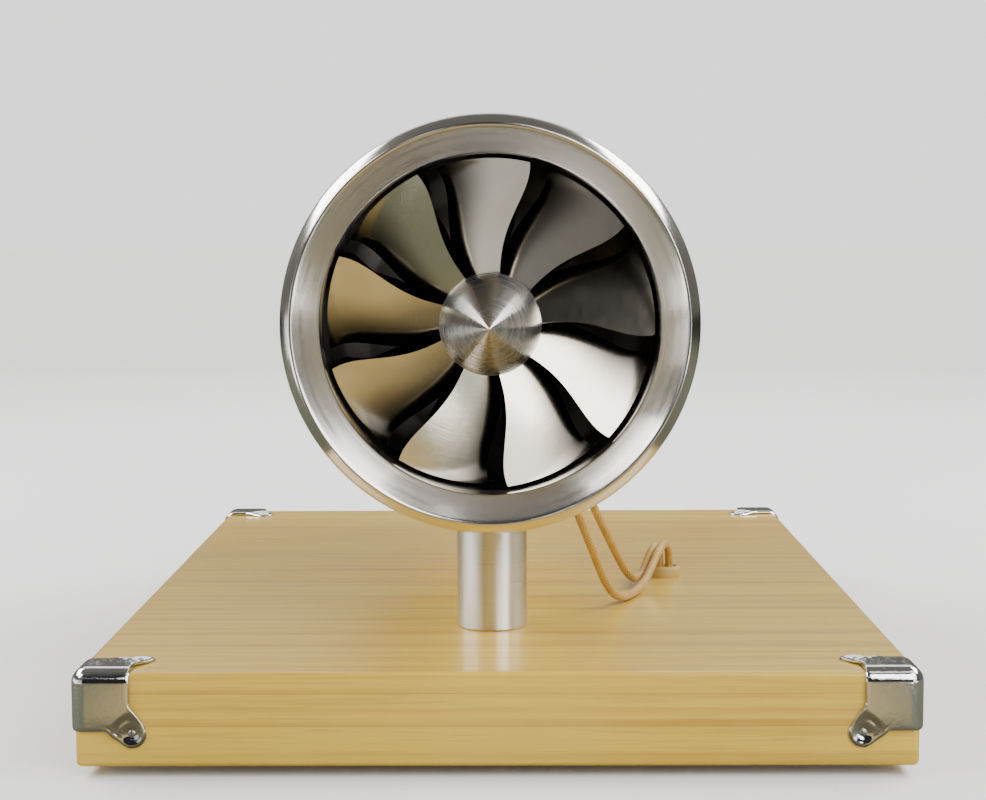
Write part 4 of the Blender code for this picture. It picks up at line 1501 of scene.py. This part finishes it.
@dataclass
class Cases:
    """The turned bell mouth and the three flanged lengths of case behind it, with their screws."""

    steps: int = 224
    funnel_end: float = 0.0058
    fillet: float = 0.0004
    crease: tuple[float, float] = (0.0007, 0.0528)
    crest: tuple[float, float] = (0.0539, 0.0541)
    bevel: tuple[float, float] = (0.0006, 0.0549)
    bevel_turn: float = 0.0003
    outer_radius: float = 0.0572
    outer_start: float = 0.0048
    back_bend: tuple[float, float] = (0.0090, 0.0570)
    throat: float = 0.0465
    lip_length: float = 0.0147
    waist: float = 0.0512
    waist_start: float = 0.0105
    wall: float = 0.0025
    flange: float = 0.0525
    flange_thick: float = 0.0030
    gap: float = 0.0003
    fan_case_end: float = 0.0750
    rear_case_end: float = 0.2050
    nozzle_end: float = 0.2420
    nozzle_exit: float = 0.0385
    nozzle_lip: float = 0.0006
    edge: float = 0.00045
    screws: int = 8
    screw_head: float = 0.0015
    screw_height: float = 0.0018
    socket_flat: float = 0.00075
    socket_depth: float = 0.0009
    nut_flat: float = 0.00135
    nut_height: float = 0.0013
    screw_end: float = 0.0007
    screw_past: float = 0.0008
    broken: float = 0.0001

    def build(self) -> None:
        """Builds the lip, the cases, the nozzle and the flange screws."""
        self.build_lip()
        self.build_case("fan_case", self.lip_length + self.gap, self.fan_case_end)
        self.build_case("rear_case", self.fan_case_end + self.gap, self.rear_case_end)
        self.build_nozzle()
        self.build_fasteners()

    def grid(self, section: np.ndarray) -> tuple[np.ndarray, np.ndarray]:
        """Turns a section about the turbine axis."""
        return turned(section, AXIS, AXIS_WAY, self.steps)

    def build_lip(self) -> None:
        """Throat, fillet, straight funnel, crest, bevelled outer edge, waist and flange, end to end."""
        length, throat, outer = self.lip_length, self.throat, self.outer_radius
        rise = (self.crease[1] - throat) / (self.funnel_end - self.crease[0])
        fillet = bezier((self.funnel_end + self.fillet, throat), (self.funnel_end, throat),
                        (self.funnel_end - self.fillet, throat + rise * self.fillet), 9)
        funnel = np.linspace(fillet[-1], self.crease, 14)[1:-1]
        crest = bezier(self.crease, (0.0, self.crease[1] + rise * self.crease[0]), (0.0, self.crest[0]), 12)
        turn, full = self.bevel_turn, outer - self.bevel_turn
        lean = self.bevel[0] / (self.bevel[1] - self.crest[1] - turn)
        turn_in = bezier((0.0, self.crest[1]), (0.0, self.crest[1] + turn), self.bevel, 10)
        meets = (self.bevel[0] + lean * (full - self.bevel[1]), full)
        edge = np.vstack((turn_in, bezier(self.bevel, meets, (self.outer_start, outer), 24)[1:]))
        back = bezier(edge[-1], self.back_bend, (self.waist_start, self.waist), 22)[1:]
        flange_start = length - self.flange_thick
        corners = [tuple(back[-1]), (flange_start, self.waist), (flange_start, self.flange),
                   (length, self.flange), (length, throat), tuple(fillet[0])]
        flange = softened(corners, 0.0003, 4, closed=False)[1:]
        section = np.vstack((fillet, funnel, crest, edge, back, flange))
        single("bell_mouth", self.grid(section), 35.0, LIP_STEEL, "inlet_lip")

    def build_case(self, name: str, start: float, end: float) -> None:
        """A tube with a flange at both ends, its corners broken."""
        outer, thick = self.throat + self.wall, self.flange_thick
        outline = [(start, self.throat), (start, self.flange), (start + thick, self.flange),
                   (start + thick, outer), (end - thick, outer), (end - thick, self.flange),
                   (end, self.flange), (end, self.throat)]
        grid = self.grid(softened(outline, self.edge))
        single("turned_" + name, grid, 35.0, CASE_STEEL, name)

    def build_nozzle(self) -> None:
        """A flange and a wall that draws in to the exit, as curves inside and out."""
        start, end = self.rear_case_end + self.gap, self.nozzle_end
        outer, middle = self.throat + self.wall, (start + end) / 2
        exit_inner, exit_outer = self.nozzle_exit, self.nozzle_exit + self.wall
        stop, behind = end - self.nozzle_lip, start + self.flange_thick
        outside = bezier((behind, outer), (middle, outer), (stop, exit_outer), 24)
        inside = bezier((stop, exit_inner), (middle, self.throat), (start, self.throat), 24)
        corners = [tuple(outside[-1]), (end, exit_outer), (end, exit_inner), tuple(inside[0])]
        lip = softened(corners, self.edge, 6, closed=False)
        corners = [(start, self.throat), (start, self.flange), (behind, self.flange), (behind, outer)]
        flange = softened(corners, self.edge, 5, closed=False)
        section = np.vstack((flange, outside, lip, inside))
        single("drawn_nozzle", self.grid(section), 35.0, CASE_STEEL, "exhaust_nozzle")

    def build_fasteners(self) -> None:
        """Socket screws behind each joint of the cases, and nuts before the two rear ones."""
        skin = Skin()
        ring = (self.flange + self.throat + self.wall) / 2
        joints = ((self.lip_length, False), (self.fan_case_end, True), (self.rear_case_end, True))
        for joint, through in joints:
            for k in range(self.screws):
                turn = 2.0 * math.pi * (k + 0.5) / self.screws
                x, z = AXIS[0] + ring * math.sin(turn), AXIS[2] + ring * math.cos(turn)
                rear_face = AXIS[1] + joint + self.gap + self.flange_thick
                self.add_socket_screw(skin, (x, rear_face, z))
                if through:
                    self.add_nut(skin, (x, AXIS[1] + joint - self.flange_thick, z))
        dress(skin.object("flange_fasteners", 35.0), SCREW_STEEL)

    def add_socket_screw(self, skin: Skin, place: Sequence[float]) -> None:
        """Adds a cylinder head with a broken edge and a hexagon socket, pointing to the rear."""
        radius, height, socket, cut = self.screw_head, self.screw_height, self.socket_flat, self.broken
        floor = height - self.socket_depth
        section = np.array(((0.0, 0.0), (0.0, radius), (height - 2 * cut, radius), (height, radius - 2 * cut),
                            (height, socket + cut), (height - cut, socket), (floor, socket), (floor, 0.0)))
        rows = np.array((0, 0, 0, 0, 0, 1, 1, 0))
        skin.grid(*turned(section, place, AXIS_WAY, 24, hexagon(rows, 24)))

    def add_nut(self, skin: Skin, place: Sequence[float]) -> None:
        """Adds a hexagon nut and the round end of its screw, pointing to the front."""
        flat, height, end, cut = self.nut_flat, self.nut_height, self.screw_end, self.broken
        past = height + self.screw_past
        section = np.array(((0.0, 0.0), (0.0, flat), (height - cut, flat), (height, flat - cut),
                            (height, end), (past - 2 * cut, end), (past, end - 2 * cut), (past, 0.0)))
        rows = np.array((0, 1, 1, 1, 0, 0, 0, 0))
        skin.grid(*turned(section, place, AXIS_BACK, 24, hexagon(rows, 24)))


def on_axis(radius: np.ndarray, clockwise: np.ndarray, station: np.ndarray) -> np.ndarray:
    """Returns points about the turbine axis; angles in degrees run clockwise from the top, seen in front."""
    turn = np.radians(clockwise)
    return AXIS + np.stack((radius * np.sin(turn), station + 0.0 * turn, radius * np.cos(turn)), axis=-1)


def aerofoil(
    middle: Callable[[np.ndarray, np.ndarray], np.ndarray],
    thick: Callable[[np.ndarray], np.ndarray],
    rows: int,
    half: int,
    flatness: float,
) -> tuple[np.ndarray, np.ndarray]:
    """Wraps a closed skin behind a front surface m(u, c): m + n h.

    Round the section c = (1 - cos a) / 2 runs from the leading to the trailing edge and back. The side
    that faces the intake is the surface itself, so its edges are crisp, and the other side lies behind it
    by h = T(u) sqrt(1 - |2c - 1|^flatness). The normal n is the cross product of the surface's two
    slopes. The ends are closed by two more rows whose thickness falls to nothing.

    Args:
        middle: The front surface as a function of u from root to tip and c along the chord.
        thick: Thickness as a function of u.
        rows: Rows from root to tip.
        half: Steps on each side of the section.
        flatness: Power of the thickness rule.

    Returns:
        The grid of points and its UVs in metres, u from the root and v up to 0 at the trailing edge.
    """
    span = np.linspace(0.0, 1.0, rows)
    u = np.concatenate(([0.0, 0.0], span, [1.0, 1.0]))[:, None]
    share = np.concatenate(([0.0, 0.7], np.ones(rows), [0.7, 0.0]))[:, None]
    angle = np.linspace(0.0, 2.0 * math.pi, 2 * half + 1)[None]
    c = (1.0 - np.cos(angle)) / 2.0 + 0.0 * u
    u = u + 0.0 * c
    step = 1e-4
    down_u = middle(np.minimum(u + step, 1.0), c) - middle(np.maximum(u - step, 0.0), c)
    down_c = middle(u, np.minimum(c + step, 1.0)) - middle(u, np.maximum(c - step, 0.0))
    normal = unit(np.cross(down_u, down_c))
    behind = np.sign(normal[..., 1:2].mean()) * normal
    depth = thick(u) * np.sqrt(np.maximum(1.0 - np.abs(2.0 * c - 1.0) ** flatness, 0.0))
    points = middle(u, c) + behind * (np.where(np.sin(angle) > 0.0, share, 0.0) * depth)[..., None]
    chord = np.linalg.norm(middle(u, np.ones_like(c)) - middle(u, np.zeros_like(c)), axis=-1)
    length = np.linalg.norm(middle(np.ones_like(u), c) - middle(np.zeros_like(u), c), axis=-1)
    return points, np.stack((u * length, (c - 1.0) * chord), axis=-1)


@dataclass
class Rotor:
    """Spinner, hub, shaft and nine swept blades."""

    hub_radius: float = 0.0140
    spinner_base: float = 0.0081
    spinner_tip: float = -0.0186
    tip_bend: float = 0.0004
    tip_round: tuple[float, float] = (0.0006, 0.00072)
    cone_end: float = -0.0040
    cone_radius: float = 0.0097
    shoulder_bend: float = 0.0023
    rim_length: float = 0.0008
    hub_start: float = 0.0084
    hub_end: float = 0.0285
    shaft_radius: float = 0.0040
    shaft_end: float = 0.0385
    blades: int = 9
    blade_root: float = 0.0137
    blade_tip: float = 0.0454
    blade_thick: float = 0.0005
    blade_grid: tuple[int, int] = (52, 34)
    blade_flatness: float = 70.0
    root_swell: float = 0.5
    sweep: tuple[float, ...] = (10.9, -18.9, 60.1, -38.05)
    span: tuple[float, ...] = (42.0, -21.5, 13.0)
    slope_root: float = 0.48
    slope_tip: float = 0.38
    middle_line: float = -11.0
    station_root: float = 0.0183
    station_tip: float = 0.0197
    gap: float = 0.0003
    steps: int = 160

    def build(self) -> None:
        """Builds every piece of the rotor."""
        self.build_spinner()
        self.build_hub()
        for number in range(1, self.blades + 1):
            self.build_blade(number)

    def build_spinner(self) -> None:
        """A cone with a small round tip that curves over into a short cylinder."""
        base = self.spinner_base
        start, full = self.spinner_tip, self.hub_radius
        length, radius = self.tip_round
        tip = bezier((start, 0.0), (start, self.tip_bend), (start + length, radius), 8)
        cone = np.linspace(tip[-1], (self.cone_end, self.cone_radius), 20)[1:]
        shoulder = bezier(cone[-1], (self.shoulder_bend, full), (base - self.rim_length, full), 28)[1:]
        rim = softened([tuple(shoulder[-1]), (base, full), (base, 0.0)], 0.0003, 5, closed=False)[1:]
        grid = turned(np.vstack((tip, cone, shoulder, rim)), AXIS, AXIS_WAY, self.steps)
        single("turned_spinner", grid, 40.0, SPINNER_STEEL, "spinner", ROTOR)

    def build_hub(self) -> None:
        """A drum that carries the blades, and the shaft behind it."""
        pieces = (("drum", "fan_hub", self.hub_start, self.hub_end, self.hub_radius - 0.0001),
                  ("bright_shaft", "rotor_shaft", self.hub_end + self.gap, self.shaft_end, self.shaft_radius))
        for name, node, start, end, radius in pieces:
            outline = [(start, 0.0), (start, radius), (end, radius), (end, 0.0)]
            grid = turned(softened(outline, 0.0004, 5, closed=False), AXIS, AXIS_WAY, 96)
            single(name, grid, 35.0, DARK_STEEL, node, ROTOR)

    def blade_middle(self, turn: float, u: np.ndarray, c: np.ndarray) -> np.ndarray:
        """Returns a blade's middle surface.

        The leading edge's angle is a cubic in u, which gives its S shape, and the chord's angle is a
        square in u. The blade is a nearly flat plate: its station falls by slope times r sin(angle from
        its middle line), and only the slope eases towards the tip.

        Args:
            turn: Angle of the blade in degrees.
            u: 0 at the root and 1 at the tip.
            c: 0 at the leading edge and 1 at the trailing edge.

        Returns:
            The points.
        """
        radius = self.blade_root + u * (self.blade_tip - self.blade_root)
        lead = sum(term * u ** power for power, term in enumerate(self.sweep))
        angle = lead - sum(term * u ** power for power, term in enumerate(self.span)) * c
        slope = self.slope_root + u * (self.slope_tip - self.slope_root)
        station = self.station_root + u * (self.station_tip - self.station_root)
        station = station - slope * radius * np.sin(np.radians(angle - self.middle_line))
        return on_axis(radius, turn + angle, station)

    def build_blade(self, number: int) -> None:
        """Wraps a skin round the middle surface, swollen at the root like a fillet."""
        turn = (number - 1) * 360.0 / self.blades

        def middle(u: np.ndarray, c: np.ndarray) -> np.ndarray:
            """Returns this blade's middle surface."""
            return self.blade_middle(turn, u, c)

        def thick(u: np.ndarray) -> np.ndarray:
            """Returns T (1 + swell e^(-u/0.02)) (1 - 0.15 u)."""
            return self.blade_thick * (1.0 + self.root_swell * np.exp(-u / 0.02)) * (1.0 - 0.15 * u)

        grid = aerofoil(middle, thick, *self.blade_grid, self.blade_flatness)
        single(f"swept_blade_{number}", grid, 50.0, BLADE_STEEL, f"fan_blade_{number}", ROTOR)


@dataclass
class Core:
    """The fixed machine inside the cases: vanes, bearing, generator housing, struts and tail cone."""

    start: float = 0.0315
    neck_end: float = 0.0540
    shoulder: float = 0.0700
    neck_radius: float = 0.0140
    radius: float = 0.0220
    end: float = 0.1950
    grooves: int = 26
    groove_depth: float = 0.0004
    drum_land: float = 0.0008
    bearing_radius: float = 0.0090
    bearing_length: float = 0.0080
    bore: float = 0.0043
    gap: float = 0.0003
    vanes: int = 9
    vane_start: float = 0.0345
    vane_depth: float = 0.0190
    vane_sweep: float = 43.0
    vane_camber: float = 1.5
    vane_thick: float = 0.0012
    vane_phase: float = 14.0
    vane_grid: tuple[int, int] = (40, 24)
    vane_flatness: float = 10.0
    crease_radii: tuple[float, ...] = (0.0137, 0.0286, 0.0357, 0.0429, 0.0464)
    crease_turns: tuple[float, ...] = (0.0, 3.0, 1.5, 5.0, 4.0)
    struts: int = 3
    strut_start: float = 0.1700
    strut_length: float = 0.0200
    strut_thick: float = 0.0030
    strut_reach: float = 0.0463
    strut_grid: tuple[int, int] = (16, 20)
    strut_flatness: float = 6.0
    tail_length: float = 0.0560
    tail_tip: float = 0.0030
    steps: int = 128

    def build(self) -> None:
        """Builds every fixed piece inside the cases."""
        self.build_housing()
        self.build_tail()
        for number in range(1, self.vanes + 1):
            self.build_vane(number)
        for number in range(1, self.struts + 1):
            self.build_strut(number)

    def turned_dark(self, name: str, section: np.ndarray, node: str) -> None:
        """Turns a section about the turbine axis in dark steel."""
        grid = turned(section, AXIS, AXIS_WAY, self.steps)
        single(name, grid, 40.0, DARK_STEEL, node)

    def build_housing(self) -> None:
        """A bearing pocket, a neck, a shoulder in two curves, and a drum with cooling grooves."""
        pocket = self.bearing_radius + self.gap
        pocket_end = self.start + self.bearing_length + self.gap
        middle, half = (self.neck_end + self.shoulder) / 2, (self.neck_radius + self.radius) / 2
        nose = softened([(pocket_end, 0.0), (pocket_end, pocket), (self.start, pocket),
                         (self.start, self.neck_radius), (self.neck_end, self.neck_radius)], 0.0004, 5, False)
        rise = bezier((self.neck_end, self.neck_radius), (middle, self.neck_radius), (middle, half), 10)[1:]
        over = bezier((middle, half), (middle, self.radius), (self.shoulder, self.radius), 10)[1:]
        way = np.linspace(0.0, 1.0, self.grooves * 10)
        groove = self.groove_depth * smooth_step(0.3, 0.9, np.cos(way * self.grooves * 2.0 * math.pi))
        drum_s = self.shoulder + way * (self.end - self.drum_land - self.shoulder)
        drum = np.stack((drum_s, self.radius - groove), axis=1)
        back = softened([tuple(drum[-1]), (self.end, self.radius), (self.end, 0.0)], 0.0004, 5, False)
        section = np.vstack((nose, rise, over, drum[1:], back[1:]))
        self.turned_dark("grooved_housing", section, "generator_housing")
        outer, stop = self.bearing_radius, self.start + self.bearing_length
        ring = [(self.start, self.bore), (self.start, outer), (stop, outer), (stop, self.bore)]
        self.turned_dark("bearing_ring", softened(ring, 0.0004), "front_bearing")

    def build_tail(self) -> None:
        """A cone whose side is one curve from the drum to a small blunt tip."""
        start = self.end + self.gap
        stop = start + self.tail_length
        bend = (start + 0.4 * self.tail_length, self.radius)
        side = bezier((start, self.radius), bend, (stop, self.tail_tip), 60)
        tip = bezier((stop, self.tail_tip), (stop, 0.4 * self.tail_tip), (stop, 0.0), 4)[1:]
        self.turned_dark("smooth_tail", np.vstack(([(start, 0.0)], side, tip)), "tail_cone")

    def build_vane(self, number: int) -> None:
        """A folded guide vane, turned by the angle of its creases less sweep (1 - c)^camber."""
        turn = self.vane_phase + (number - 1) * 360.0 / self.vanes

        def middle(u: np.ndarray, c: np.ndarray) -> np.ndarray:
            """Returns this vane's middle surface, from the neck to the case."""
            radius = self.crease_radii[0] + u * (self.crease_radii[-1] - self.crease_radii[0])
            twist = np.interp(radius, self.crease_radii, self.crease_turns)
            angle = turn + twist - self.vane_sweep * (1.0 - c) ** self.vane_camber
            return on_axis(radius, angle, self.vane_start + self.vane_depth * c)

        def thick(u: np.ndarray) -> np.ndarray:
            """Returns the same thickness everywhere."""
            return self.vane_thick + 0.0 * u

        grid = aerofoil(middle, thick, *self.vane_grid, self.vane_flatness)
        single(f"folded_vane_{number}", grid, 50.0, VANE_STEEL, f"guide_vane_{number}")

    def build_strut(self, number: int) -> None:
        """A straight strut with round front and rear edges, from the drum to the case."""
        turn = math.degrees(2.0 * math.pi * (number - 1) / self.struts)

        def middle(u: np.ndarray, c: np.ndarray) -> np.ndarray:
            """Returns the strut's flat middle surface."""
            radius = self.radius - self.gap + u * (self.strut_reach - self.radius + self.gap)
            return on_axis(radius, turn + 0.0 * c, self.strut_start + self.strut_length * c)

        def thick(u: np.ndarray) -> np.ndarray:
            """Returns the strut's thickness."""
            return self.strut_thick + 0.0 * u

        grid = aerofoil(middle, thick, *self.strut_grid, self.strut_flatness)
        single(f"round_strut_{number}", grid, 50.0, VANE_STEEL, f"rear_strut_{number}")


def main() -> None:
    """Builds the studio, then each sub-assembly from the outside in."""
    logging.basicConfig(level=logging.INFO, format="%(name)s %(message)s")
    for assembly in (Studio(), Leads(), Board(), CornerGuards(), Posts(), Cases(), Rotor(), Core()):
        LOG.info("building %s", type(assembly).__name__)
        assembly.build()


if __name__ == "__main__":
    main()
